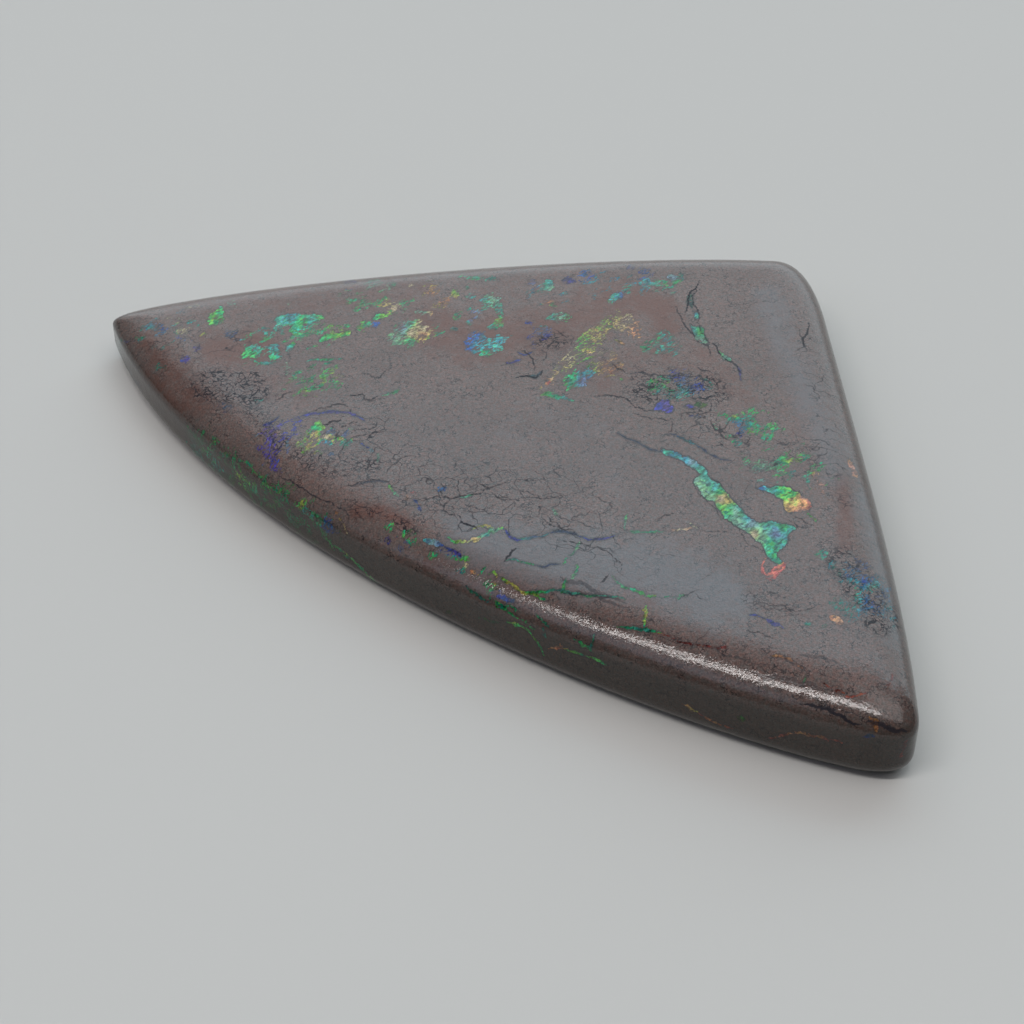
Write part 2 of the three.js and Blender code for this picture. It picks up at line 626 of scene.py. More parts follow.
LATTICE_PATCHES = (
    Patch(
        (
            (600, 325), (606, 317), (618, 312), (630, 315), (641, 325), (641, 337), (634, 338), (626, 330),
            (614, 330), (608, 338), (598, 347), (592, 357), (582, 362), (570, 370), (562, 374), (552, 374),
            (553, 366), (562, 357), (574, 351), (576, 340), (586, 333),
        ),
        (
            ("lime", (606, 320)), ("yellow", (618, 316)), ("cream", (626, 320)), ("orange", (637, 327)),
            ("orange", (634, 336)), ("yellow", (597, 334)), ("lime", (588, 344)), ("yellow", (592, 352)),
            ("lime", (580, 342)), ("cream", (570, 358)), ("yellow", (562, 366)), ("lime", (578, 362)),
        ),
        0.78, 0.88,
    ),
    Patch(
        ((562, 385), (566, 376), (576, 370), (590, 368), (598, 372), (590, 380), (578, 387), (568, 391)),
        (("green", (573, 375)), ("cyan", (586, 373)), ("green", (570, 386)), ("slate", (583, 381))),
        0.75, 0.62,
    ),
    Patch(
        ((588, 363), (600, 351), (614, 352), (624, 362), (622, 374), (606, 377), (594, 372)),
        (("cream", (600, 354)), ("orange", (606, 368)), ("lime", (592, 366)), ("orange", (616, 372))),
        0.5, 0.85,
    ),
    Patch(
        ((393, 338), (402, 327), (413, 322), (426, 326), (431, 335), (424, 343), (408, 347), (397, 345)),
        (
            ("sky", (403, 328)), ("teal", (408, 323)), ("cream", (411, 333)), ("orange", (424, 336)),
            ("mint", (396, 336)), ("green", (411, 342)), ("lime", (429, 340)), ("cream", (424, 328)),
        ),
        0.85, 0.66,
    ),
    Patch(
        ((480, 306), (482, 297), (492, 293), (500, 299), (503, 312), (501, 322), (496, 320), (494, 308)),
        (("teal", (486, 302)), ("mint", (494, 297)), ("teal", (500, 310)), ("lime", (498, 320))),
        0.75, 0.66,
    ),
    Patch(
        ((548, 318), (553, 312), (562, 313), (572, 317), (566, 321), (555, 321)),
        (("teal", (551, 316)), ("mint", (560, 317)), ("green", (568, 318))),
        0.8, 0.5,
    ),
)
YELLOW_LATTICE = (
    Seam("cream", 0.12, ((592, 354), (600, 353), (607, 356)), 0.6, 0.3),
    Seam("yellow orange", 0.12, ((615, 340), (621, 342), (624, 345)), 0.5),
    Seam("lime", 0.12, ((580, 362), (588, 358), (596, 356)), 0.55),
)
ORANGE_CORNER = (
    fleck("orange red", (547, 383), 0.4, 0.3, 0.8, 0.2),
    Seam("orange cream", 0.16, ((546, 378), (552, 379), (554, 374)), 0.7),
    fleck("orange", (552, 385), 0.3, 0.2, 0.6),
    Seam("lime green teal", 0.4, ((542, 394), (550, 395), (558, 397), (566, 398)), 0.7, 0.4),
    Seam("teal", 0.16, ((562, 396), (568, 399), (575, 401)), 0.4),
    Seam("orange mint", 0.12, ((556, 385), (562, 384), (568, 386)), 0.5),
    Seam("lime green", 0.12, ((585, 367), (592, 364), (599, 366)), 0.5),
    Seam("orange", 0.12, ((597, 369), (607, 367), (616, 372)), 0.4),
    Seam("orange lime", 0.13, ((604, 377), (613, 375), (622, 379)), 0.4),
    Seam("indigo", 0.14, ((518, 352), (524, 355), (532, 352)), 0.4, 0.1),
    Seam("indigo", 0.2, ((507, 363), (514, 362), (521, 359)), 0.5, 0.1),
    Seam("teal slate", 0.2, ((529, 376), (538, 375), (542, 371)), 0.2, 0.3),
    Seam("mint green", 0.22, ((381, 396), (390, 393), (399, 390)), 0.35, 0.4),
)
UPPER_RIGHT_VEIN = (
    Seam("mint", 0.16, ((694, 336), (700, 342), (706, 344)), 0.55),
    Seam("green mint teal", 0.24, ((719, 351), (724, 357), (732, 362)), 0.65, 0.2),
    Seam("indigo violet", 0.14, ((735, 364), (740, 371), (741, 380)), 0.35, 0.1),
    Seam("teal", 0.4, ((691, 294), (690, 301), (692, 307)), 0.12, 0.4),
    fleck("teal", (668, 348), 1.4, 0.4, 0.25, 0.8),
    Seam("green", 0.13, ((636, 345), (643, 347), (650, 350)), 0.5),
)
UPPER_RIGHT_PATCHES = (
    Patch(
        ((653, 410), (656, 405), (662, 400), (669, 400), (674, 408), (672, 412), (662, 411)),
        (("indigo", (658, 408)), ("violet", (667, 404)), ("indigo", (672, 410))),
        0.95, 0.15,
    ),
    Patch(
        ((684, 406), (690, 404), (696, 408), (689, 409)),
        (("violet", (687, 406)), ("indigo", (693, 407))),
        0.6, 0.2,
    ),
    Patch(
        ((690, 325), (701, 326), (706, 337), (709, 344), (702, 342), (695, 336)),
        (("teal", (694, 329)), ("green", (701, 332)), ("mint", (701, 341))),
        0.6, 0.15,
    ),
    Patch(
        ((693, 311), (698, 311), (699, 318), (695, 319)),
        (("cyan", (696, 313)), ("teal", (697, 317))),
        0.75, 0.15,
    ),
    Patch(
        ((653, 340), (657, 333), (667, 331), (673, 336), (670, 343), (660, 343)),
        (("green", (658, 338)), ("cyan", (665, 340)), ("teal", (670, 334))),
        0.6, 0.75,
    ),
)
VIOLET_CLUSTER = (
    fleck("violet slate", (695, 416), 0.9, 0.25, 0.3, 0.4),
    fleck("lime", (702, 405), 0.9, 0.4, 0.12, 0.4),
    Seam("green teal", 0.2, ((655, 378), (663, 377), (671, 379)), 0.45, 0.4),
    Seam("indigo", 0.3, ((668, 377), (678, 376), (686, 378)), 0.4, 0.5),
    Seam("teal slate", 0.25, ((676, 386), (682, 390), (684, 396)), 0.4, 0.5),
    Seam("lime green", 0.16, ((661, 385), (666, 383), (672, 386)), 0.45, 0.4),
    Seam("teal", 0.18, ((700, 378), (708, 380), (712, 386)), 0.3, 0.4),
    fleck("green teal", (735, 442), 0.8, 0.5, 0.45, 0.7),
    fleck("indigo", (741, 434), 0.6, 0.3, 0.35, 0.5),
    fleck("green", (760, 425), 0.9, 0.45, 0.35, 0.8),
    fleck("lime", (749, 431), 0.3, 0.6, 0.45, 0.7),
)
VEIN_PATCHES = (
    Patch(
        (
            (661, 448), (670, 450), (680, 454), (682, 457), (688, 456), (695, 460), (703, 466), (708, 471),
            (708, 475), (712, 480), (720, 484), (724, 490), (729, 496), (738, 506), (746, 514), (757, 522),
            (772, 521), (786, 523), (796, 529), (789, 534), (787, 541), (785, 547), (776, 552), (779, 559),
            (782, 563), (776, 564), (768, 558), (765, 551), (762, 544), (754, 539), (744, 531), (733, 524),
            (723, 516), (718, 509), (714, 502), (707, 500), (700, 492), (693, 483), (695, 477), (700, 474),
            (695, 469), (686, 464), (682, 461), (674, 458), (666, 455),
        ),
        (
            ("teal", (665, 451)), ("cyan", (674, 455)), ("cyan", (686, 460)), ("sky", (692, 461)),
            ("teal", (700, 467)), ("teal", (706, 476)), ("teal", (714, 487)), ("green", (720, 492)),
            ("mint", (698, 482)), ("mint", (704, 491)), ("mint", (711, 498)), ("cream", (721, 499)),
            ("yellow", (727, 500)), ("lime", (722, 508)), ("green", (728, 512)), ("mint", (736, 512)),
            ("teal", (741, 510)), ("cyan", (748, 518)), ("mint", (737, 522)), ("sky", (752, 523)),
            ("cream", (755, 533)), ("mint", (762, 538)), ("teal", (768, 525)), ("green", (783, 527)),
            ("teal", (793, 529)), ("slate", (776, 534)), ("green", (770, 543)), ("teal", (780, 543)),
            ("green", (774, 555)), ("teal", (779, 561)),
        ),
        0.85, 0.12,
    ),
    Patch(
        (
            (756, 488), (764, 485), (772, 487), (784, 487), (795, 491), (801, 496), (808, 500), (813, 507),
            (809, 511), (786, 512), (784, 507), (783, 500), (776, 496), (768, 492), (760, 490),
        ),
        (
            ("blue", (759, 488)), ("cyan", (766, 487)), ("teal", (772, 490)), ("green", (781, 490)),
            ("green", (792, 493)), ("lime", (787, 496)), ("yellow", (793, 500)), ("yellow", (795, 504)),
            ("orange", (792, 509)), ("orange", (801, 506)), ("orange", (804, 498)), ("red", (811, 506)),
            ("orange", (805, 509)),
        ),
        0.95, 0.12,
    ),
)
VEIN_OPAL = (
    Seam("indigo slate indigo", 0.13, ((617, 433), (626, 438), (645, 446), (662, 451)), 0.1, 0.0, 0.5),
    Seam("red", 0.24, ((766, 558), (762, 566), (763, 573), (768, 577)), 0.9, 0.3),
    Seam("red", 0.5, ((766, 575), (773, 576), (779, 569), (785, 564)), 0.9, 0.45),
    fleck("red", (769, 578), 0.6, 0.4, 0.8, 0.5),
    Seam("mint sky", 0.26, ((757, 482), (764, 480), (771, 483)), 0.5, 0.6),
    Seam("orange salmon", 0.14, ((787, 512), (797, 511), (808, 510)), 0.9, 0.2, 0.7),
    Seam("salmon red", 0.16, ((800, 496), (806, 500), (812, 507)), 0.8, 0.3),
    Seam("lime", 0.12, ((806, 511), (811, 516), (816, 521)), 0.4, 0.2),
    Seam("indigo teal indigo slate", 0.14, ((668, 434), (679, 437), (705, 450), (732, 461)), 0.14, 0.1),
    Seam("cyan", 0.14, ((686, 440), (691, 443), (696, 444)), 0.5, 0.3),
    fleck("green teal", (790, 474), 1.0, 0.6, 0.45, 0.85),
    fleck("teal", (808, 481), 0.5, 0.4, 0.65, 0.4),
    fleck("salmon", (817, 482), 0.6, 0.5, 0.5, 0.8),
    Seam("salmon", 0.18, ((818, 486), (824, 494), (829, 500)), 0.5, 0.7),
    fleck("green teal", (821, 554), 0.9, 0.5, 0.5, 0.6),
)
RIGHT_PATCHES = (
    Patch(
        (
            (838, 566), (852, 556), (866, 562), (876, 574), (888, 590), (893, 612), (884, 622), (868, 618),
            (850, 622), (834, 610), (828, 598), (836, 584),
        ),
        (
            ("teal", (838, 572)), ("slate", (858, 565)), ("blue", (848, 574)), ("cyan", (849, 584)),
            ("green", (851, 592)), ("blue", (866, 580)), ("teal", (872, 588)), ("teal", (856, 604)),
            ("blue", (868, 604)), ("teal", (834, 604)), ("slate", (880, 600)), ("cyan", (888, 608)),
        ),
        0.4, 0.93,
    ),
    Patch(
        ((744, 471), (752, 465), (770, 463), (784, 454), (796, 458), (790, 466), (772, 471), (756, 474)),
        (("mint", (748, 470)), ("mint", (764, 467)), ("green", (782, 458)), ("lime", (792, 460))),
        0.5, 0.72,
    ),
    Patch(
        ((712, 414), (730, 412), (746, 417), (764, 424), (760, 431), (748, 428), (740, 436), (734, 425)),
        (("green", (720, 415)), ("lime", (736, 415)), ("blue", (737, 426)), ("green", (758, 427))),
        0.5, 0.72,
    ),
    Patch(
        ((648, 392), (652, 378), (670, 372), (694, 374), (706, 380), (696, 388), (684, 398), (664, 399)),
        (
            ("green", (656, 380)), ("indigo", (676, 376)), ("slate", (690, 380)), ("lime", (667, 385)),
            ("cyan", (662, 394)), ("teal", (680, 394)), ("indigo", (698, 380)), ("green", (650, 390)),
        ),
        0.4, 0.9,
    ),
)
RIGHT_SIDE_OPAL = (
    Seam("orange salmon orange", 0.34, ((850, 459), (853, 468), (858, 478)), 0.6, 0.4),
    Seam("orange salmon", 0.45, ((831, 617), (836, 619), (842, 624)), 0.8, 0.3, 0.6),
    Seam("indigo", 0.14, ((749, 615), (760, 617), (768, 620)), 0.35, 0.1),
    Seam("indigo violet", 0.24, ((765, 619), (773, 623), (783, 628)), 0.5, 0.3),
    fleck("red", (858, 567), 0.5, 0.35, 0.45, 0.8),
    fleck("red", (867, 581), 0.4, 0.35, 0.4, 0.8),
    fleck("red", (852, 598), 0.35, 0.3, 0.35, 0.8),
    fleck("teal", (808, 624), 0.5, 0.2, 0.4, 0.5),
    fleck("teal", (824, 627), 0.4, 0.2, 0.3, 0.5),
)
INDIGO_PATCHES = (
    Patch(
        (
            (254, 448), (258, 436), (266, 424), (282, 421), (297, 414), (302, 421), (293, 434), (282, 444),
            (276, 456), (279, 474), (270, 468), (264, 454),
        ),
        (("indigo", (262, 444)), ("violet", (270, 430)), ("indigo", (292, 424)), ("indigo", (272, 460))),
        0.78, 0.86,
    ),
    Patch(
        ((526, 338), (534, 329), (546, 326), (552, 334), (544, 344), (532, 346)),
        (("indigo", (532, 337)), ("slate", (541, 330)), ("indigo", (546, 338))),
        0.4, 0.85,
    ),
)
BLUE_NETWORK = (
    Seam("indigo violet indigo", 0.17, ((258, 446), (264, 440), (271, 436), (292, 431)), 0.5, 0.1),
    Seam("indigo violet", 0.15, ((290, 432), (294, 427), (297, 422), (300, 417)), 0.5, 0.1),
    fleck("indigo", (271, 436), 0.6, 0.45, 0.6, 0.3),
    Seam("indigo violet indigo", 0.17, ((271, 438), (273, 447), (270, 455), (275, 471)), 0.45, 0.1),
    Seam("sky slate", 0.3, ((285, 438), (288, 443), (287, 452)), 0.4, 0.6),
    fleck("sky", (253, 435), 0.5, 0.3, 0.35, 0.6),
    Seam("indigo", 0.18, ((262, 425), (268, 424), (274, 421), (279, 416)), 0.3, 0.1),
    Seam("indigo violet", 0.14, ((266, 430), (274, 428), (280, 423)), 0.3, 0.1),
    Seam("indigo violet", 0.18, ((302, 416), (311, 414), (322, 413), (338, 412), (350, 413)), 0.5, 0.05),
    Seam("violet indigo", 0.2, ((348, 412), (357, 416), (365, 421)), 0.6, 0.05),
    Seam("green lime", 0.45, ((312, 428), (318, 427), (325, 428)), 0.85, 0.3),
    fleck("green", (331, 428), 0.4, 0.25, 0.6),
    fleck("yellow lime", (318, 434), 0.5, 0.4, 0.75, 0.4),
    fleck("cream yellow", (329, 437), 0.6, 0.35, 0.85, 0.3),
    fleck("lime yellow", (339, 438), 0.5, 0.35, 0.75, 0.4),
    fleck("slate", (331, 432), 0.7, 0.25, 0.4, 0.5),
    fleck("slate", (343, 434), 0.5, 0.3, 0.4, 0.5),
    fleck("cyan", (326, 442), 0.4, 0.4, 0.75, 0.4),
    fleck("teal", (345, 445), 0.6, 0.5, 0.45, 0.6),
    fleck("lime yellow", (306, 448), 1.0, 0.8, 0.5, 0.75),
    fleck("yellow lime", (318, 453), 0.8, 0.45, 0.45, 0.75),
    fleck("slate", (330, 454), 0.7, 0.35, 0.35, 0.6),
    Seam("indigo", 0.15, ((360, 443), (364, 446), (369, 448)), 0.3, 0.1),
    fleck("sky", (371, 450), 0.35, 0.3, 0.35),
    fleck("mint", (378, 458), 0.25, 0.6, 0.35),
    fleck("teal", (258, 400), 0.6, 0.3, 0.3, 0.6),
    fleck("slate", (225, 407), 1.2, 0.5, 0.2, 0.7),
)
FRONT_NETWORK = (
    Seam("slate indigo", 0.1, ((352, 486), (365, 482), (377, 481), (386, 482)), 0.12, 0.0),
    Seam("lime mint", 0.16, ((389, 486), (394, 492), (399, 497)), 0.6, 0.3),
    fleck("salmon", (407, 497), 0.5, 0.4, 0.5, 0.6),
    fleck("red", (413, 492), 0.3, 0.25, 0.4, 0.6),
    Seam("indigo", 0.2, ((414, 500), (419, 506), (421, 512)), 0.4, 0.3),
    fleck("blue", (442, 489), 0.5, 0.35, 0.5, 0.5),
    fleck("green", (390, 527), 0.8, 0.8, 0.7, 0.6),
    fleck("indigo", (389, 542), 0.7, 0.6, 0.35, 0.6),
    fleck("slate", (400, 548), 0.8, 0.6, 0.25, 0.7),
    Seam("cyan sky blue", 0.42, ((424, 540), (433, 543), (443, 545)), 0.85, 0.25),
    Seam("blue indigo", 0.24, ((442, 545), (451, 550), (461, 557)), 0.35, 0.2),
    Seam("mint green", 0.16, ((458, 497), (466, 497), (473, 495)), 0.45, 0.1),
    Seam("green lime cream", 0.28, ((446, 536), (454, 542), (463, 542), (472, 540)), 0.75, 0.25),
    Seam("cream yellow cream", 0.32, ((470, 540), (475, 540), (480, 538)), 0.9, 0.1),
    Seam("mint teal mint lime", 0.3, ((478, 537), (487, 534), (495, 530), (503, 528)), 0.7, 0.3),
    Seam("lime yellow", 0.13, ((470, 531), (480, 526), (492, 527)), 0.5, 0.3),
    Seam("indigo", 0.2, ((504, 529), (508, 534), (514, 539), (521, 540)), 0.45, 0.05),
    Seam("teal slate teal", 0.2, ((520, 539), (530, 538), (541, 537), (550, 533)), 0.35, 0.1),
    Seam("indigo slate indigo", 0.2, ((549, 533), (558, 531), (570, 533), (580, 537)), 0.15, 0.0),
    Seam("indigo violet indigo", 0.18, ((579, 536), (588, 540), (598, 539), (618, 535)), 0.4, 0.05),
    Seam("green mint green", 0.16, ((627, 514), (625, 522), (626, 534)), 0.5, 0.3),
    Seam("mint green mint", 0.15, ((627, 531), (641, 532), (655, 532), (668, 531)), 0.45, 0.2),
    Seam("salmon cream salmon", 0.14, ((671, 530), (681, 529), (691, 528)), 0.6, 0.2),
    Seam("cream", 0.14, ((690, 523), (694, 526), (698, 530)), 0.5, 0.2),
    Seam("mint", 0.12, ((553, 507), (555, 514), (560, 517)), 0.4, 0.4),
    Seam("mint green", 0.22, ((579, 542), (575, 550), (570, 556), (563, 564)), 0.5, 0.4),
    Seam("teal green", 0.14, ((505, 561), (514, 559), (524, 562), (536, 565)), 0.4, 0.1),
    Seam("slate indigo", 0.16, ((534, 565), (545, 567), (560, 564)), 0.12, 0.0),
    Seam("green mint", 0.26, ((578, 567), (575, 573), (572, 580)), 0.45, 0.5),
    Seam("green", 0.24, ((566, 578), (564, 585), (561, 593)), 0.35, 0.3),
    Seam("lime yellow green", 0.24, ((498, 576), (507, 582), (516, 588), (528, 594), (545, 600)), 0.45, 0.3),
    Seam("green teal green", 0.22, ((526, 592), (545, 592), (562, 590), (580, 594), (600, 596)), 0.35, 0.15),
    Seam("teal green", 0.2, ((600, 596), (612, 597), (625, 599)), 0.3, 0.2),
    Seam("mint green lime", 0.2, ((612, 576), (618, 583), (628, 588), (641, 593), (656, 596)), 0.5, 0.3),
    Seam("green mint", 0.12, ((655, 597), (672, 597), (688, 596)), 0.3, 0.5),
    Seam("lime yellow green", 0.26, ((646, 606), (646, 615), (644, 625)), 0.65, 0.4),
    Seam("green teal green", 0.2, ((616, 627), (630, 628), (646, 629), (662, 632)), 0.4, 0.2),
    fleck("green lime", (461, 559), 1.3, 0.3, 0.6, 0.5),
    fleck("cream", (466, 565), 0.5, 0.3, 0.7, 0.4),
    fleck("orange cream", (472, 571), 0.4, 0.4, 0.65, 0.4),
    fleck("yellow", (459, 560), 0.4, 0.2, 0.7, 0.4),
    fleck("cyan teal", (463, 572), 0.7, 0.4, 0.5, 0.6),
    Seam("lime yellow", 0.13, ((489, 574), (494, 571), (498, 576), (494, 580)), 0.6, 0.2),
    fleck("green", (486, 584), 0.6, 0.4, 0.45, 0.6),
    Seam("indigo blue", 0.4, ((496, 596), (504, 598), (513, 601)), 0.45, 0.3),
    Seam("green", 0.26, ((490, 598), (498, 603), (508, 606), (518, 610)), 0.4, 0.4),
)
FRONT_WALL_OPAL_AND_REFLECTION = (
    Seam("green", 0.14, ((497, 607), (510, 613), (525, 621), (535, 629)), 0.4, 0.4),
    Seam("green lime green", 0.2, ((507, 622), (514, 624), (523, 627)), 0.6, 0.2),
    Seam("lime green", 0.14, ((520, 626), (530, 632), (537, 642), (544, 656)), 0.45, 0.2),
    Seam("green teal", 0.18, ((536, 614), (542, 620), (550, 628)), 0.35, 0.4),
    Seam("teal", 0.16, ((543, 628), (545, 636)), 0.3, 0.4),
    fleck("orange red", (558, 648), 0.6, 0.3, 0.55, 0.35),
    Seam("orange", 0.12, ((548, 649), (558, 648), (568, 648)), 0.45, 0.1),
    Seam("orange", 0.1, ((552, 657), (558, 649), (560, 643)), 0.4, 0.1),
    Seam("lime green", 0.14, ((564, 648), (575, 652), (586, 656)), 0.45, 0.1),
    Seam("green lime green", 0.18, ((586, 656), (597, 660), (609, 666)), 0.6, 0.1),
    Seam("teal", 0.16, ((596, 634), (592, 643), (591, 652)), 0.25, 0.3),
    Seam("green", 0.16, ((574, 639), (582, 645), (592, 651)), 0.3, 0.4),
    Seam("teal", 0.2, ((466, 586), (478, 595), (488, 603)), 0.2, 0.4),
    Seam("green", 0.1, ((478, 618), (488, 620), (500, 622)), 0.15, 0.4),
    fleck("lime", (448, 612), 0.4, 0.25, 0.12, 0.4),
    Seam("orange yellow", 0.14, ((682, 704), (690, 708), (698, 712)), 0.35, 0.4),
    Seam("red orange red", 0.12, ((698, 712), (706, 718), (716, 723), (733, 729)), 0.3, 0.2),
    fleck("lime", (741, 718), 0.6, 0.45, 0.14, 0.4),
    Seam("red orange red", 0.18, ((768, 738), (785, 735), (800, 733), (815, 736), (842, 743)), 0.3, 0.3),
    fleck("blue", (869, 736), 0.7, 0.25, 0.25, 0.5),
    Seam("orange", 0.32, ((869, 717), (875, 722), (877, 731)), 0.4, 0.4),
    Seam("orange salmon", 0.14, ((770, 656), (785, 658), (797, 665), (806, 671)), 0.45, 0.2),
    Seam("mint", 0.16, ((807, 673), (805, 679), (803, 685)), 0.35, 0.2),
    Seam("red", 0.14, ((846, 697), (856, 696), (868, 693)), 0.4, 0.2),
    Seam("red", 0.12, ((655, 634), (675, 639), (700, 645), (730, 648)), 0.25, 0.4),
    Seam("red", 0.12, ((820, 682), (835, 690), (850, 697)), 0.3, 0.4),
    Seam("red salmon", 0.2, ((892, 675), (889, 686), (886, 694)), 0.3, 0.6),
    Seam("red", 0.16, ((907, 738), (904, 748), (900, 756)), 0.3, 0.4),
    Seam("green teal", 0.18, ((205, 448), (213, 458), (222, 470)), 0.35, 0.6),
    Seam("green", 0.16, ((240, 460), (250, 465), (258, 476)), 0.4, 0.5),
    Seam("lime green", 0.2, ((239, 474), (248, 483), (256, 490)), 0.45, 0.5),
    Seam("teal", 0.2, ((186, 440), (196, 452), (205, 462)), 0.25, 0.6),
    Seam("lime", 0.1, ((298, 503), (302, 502), (303, 506)), 0.6, 0.0),
    Seam("teal green", 0.26, ((306, 508), (315, 516), (324, 522)), 0.35, 0.6),
    Seam("blue", 0.3, ((324, 521), (330, 526), (334, 531)), 0.35, 0.6),
    Seam("orange cream", 0.12, ((336, 512), (341, 521), (347, 533)), 0.4, 0.3),
    Seam("lime green lime", 0.13, ((344, 552), (354, 561), (368, 576), (382, 586)), 0.4, 0.2),
    Seam("green", 0.14, ((325, 538), (338, 548), (350, 560)), 0.3, 0.4),
    # Painted reflection: the faint bluish band along the left tip's lower edge, laid as a teal fleck and a
    # teal seam.
    fleck("teal", (119, 345), 0.3, 0.9, 0.2, 0.6),
    Seam("teal slate", 0.3, ((117, 350), (128, 372), (142, 396)), 0.2, 0.7),
)
SEAMS = (
    LEFT_TIP_OPAL + GREEN_OPAL + BACK_EDGE_OPAL + BLUE_OPAL + YELLOW_LATTICE + ORANGE_CORNER
    + UPPER_RIGHT_VEIN + VIOLET_CLUSTER + VEIN_OPAL + RIGHT_SIDE_OPAL + BLUE_NETWORK
    + FRONT_NETWORK + FRONT_WALL_OPAL_AND_REFLECTION
)
PATCHES = (
    LEFT_TIP_PATCHES + GREEN_PATCHES + BLUE_PATCHES + LATTICE_PATCHES + UPPER_RIGHT_PATCHES
    + RIGHT_PATCHES + INDIGO_PATCHES + VEIN_PATCHES
)

LEFT_CRACKS = (
    Crack(((238, 325), (250, 321), (259, 320)), 0.1, 0.4),
    Crack(((311, 411), (320, 408), (332, 405), (345, 405), (350, 410)), 0.11),
    Crack(((322, 426), (332, 421), (341, 420)), 0.12, 0.9),
    Crack(((338, 427), (348, 424), (359, 422))),
    Crack(((352, 433), (365, 429), (375, 427), (377, 420))),
    Crack(((368, 438), (377, 432), (384, 431)), 0.13, 0.9),
    Crack(((348, 440), (357, 436), (366, 434), (372, 438)), 0.1, 0.7),
    Crack(((300, 393), (312, 388), (324, 389)), 0.1, 0.6),
    Crack(((275, 400), (284, 394), (296, 391)), 0.13, 0.7),
    Crack(((360, 374), (368, 374), (372, 377), (380, 378), (384, 372), (393, 367)), 0.1, 0.7),
    Crack(((350, 395), (362, 395)), 0.12, 0.9),
    Crack(((362, 392), (364, 398), (371, 400), (380, 396)), 0.12, 0.8),
    Crack(((360, 402), (372, 401), (386, 399)), 0.09, 0.6),
    Crack(((275, 471), (290, 480), (303, 488), (310, 494), (325, 501), (338, 508), (352, 517)), 0.12, 0.9),
    Crack(((195, 388), (206, 398), (214, 408)), 0.12, 0.7),
    Crack(((236, 420), (245, 430), (258, 446)), 0.1, 0.5),
    Crack(((214, 352), (219, 362), (213, 372)), 0.08, 0.35),
)
FRONT_CRACKS = (
    Crack(((340, 488), (352, 486), (365, 482), (378, 480), (387, 482), (393, 489))),
    Crack(((386, 474), (391, 466), (401, 458), (412, 456), (421, 456)), 0.1, 0.7),
    Crack(((415, 499), (430, 498), (444, 497), (458, 497), (467, 496), (480, 494), (490, 488)), 0.11, 0.9),
    Crack(((476, 482), (484, 486), (490, 488), (500, 485), (508, 483)), 0.1, 0.9),
    Crack(((490, 488), (493, 494), (500, 499), (510, 500), (521, 501)), 0.1, 0.8),
    Crack(((512, 487), (521, 491), (530, 493), (543, 500), (552, 497), (560, 495), (566, 503)), 0.09, 0.7),
    Crack(((458, 478), (457, 486), (460, 496)), 0.09, 0.8),
    Crack(((451, 499), (444, 505), (443, 511), (449, 515), (460, 516)), 0.11, 0.9),
    Crack(((460, 516), (461, 521), (468, 525), (478, 530)), 0.13, 1.0),
    Crack(((460, 521), (458, 530)), 0.09, 0.7),
    Crack(((440, 483), (445, 487), (440, 492), (443, 497)), 0.1, 0.8),
    Crack(((460, 503), (470, 507), (478, 509), (487, 508), (495, 505))),
    Crack(((543, 514), (551, 522), (558, 524), (563, 530)), 0.09, 0.7),
    Crack(((557, 540), (572, 542), (590, 547), (602, 550), (613, 557), (622, 563), (620, 574)), 0.09, 0.8),
    Crack(((541, 516), (548, 524), (560, 527), (573, 530), (577, 536)), 0.1, 0.9),
    Crack(((504, 562), (510, 555), (516, 548)), 0.18, 0.9),
    Crack(((600, 583), (605, 579), (609, 574)), 0.16, 0.8),
    Crack(((655, 520), (663, 516), (674, 513)), 0.1, 0.8),
    Crack(((540, 512), (560, 511), (580, 508)), 0.06, 0.4),
    Crack(((697, 530), (715, 531), (735, 530)), 0.08, 0.6),
    Crack(((560, 593), (575, 596), (600, 597), (618, 598)), 0.12, 0.8),
    Crack(((680, 597), (690, 593), (700, 590)), 0.08, 0.6),
    Crack(((697, 580), (706, 577), (712, 572)), 0.07, 0.5),
    Crack(((690, 650), (700, 638), (712, 628)), 0.09, 0.7),
    Crack(((630, 555), (640, 560), (648, 558)), 0.06, 0.5),
    Crack(((640, 553), (665, 556), (688, 558)), 0.06, 0.5),
)
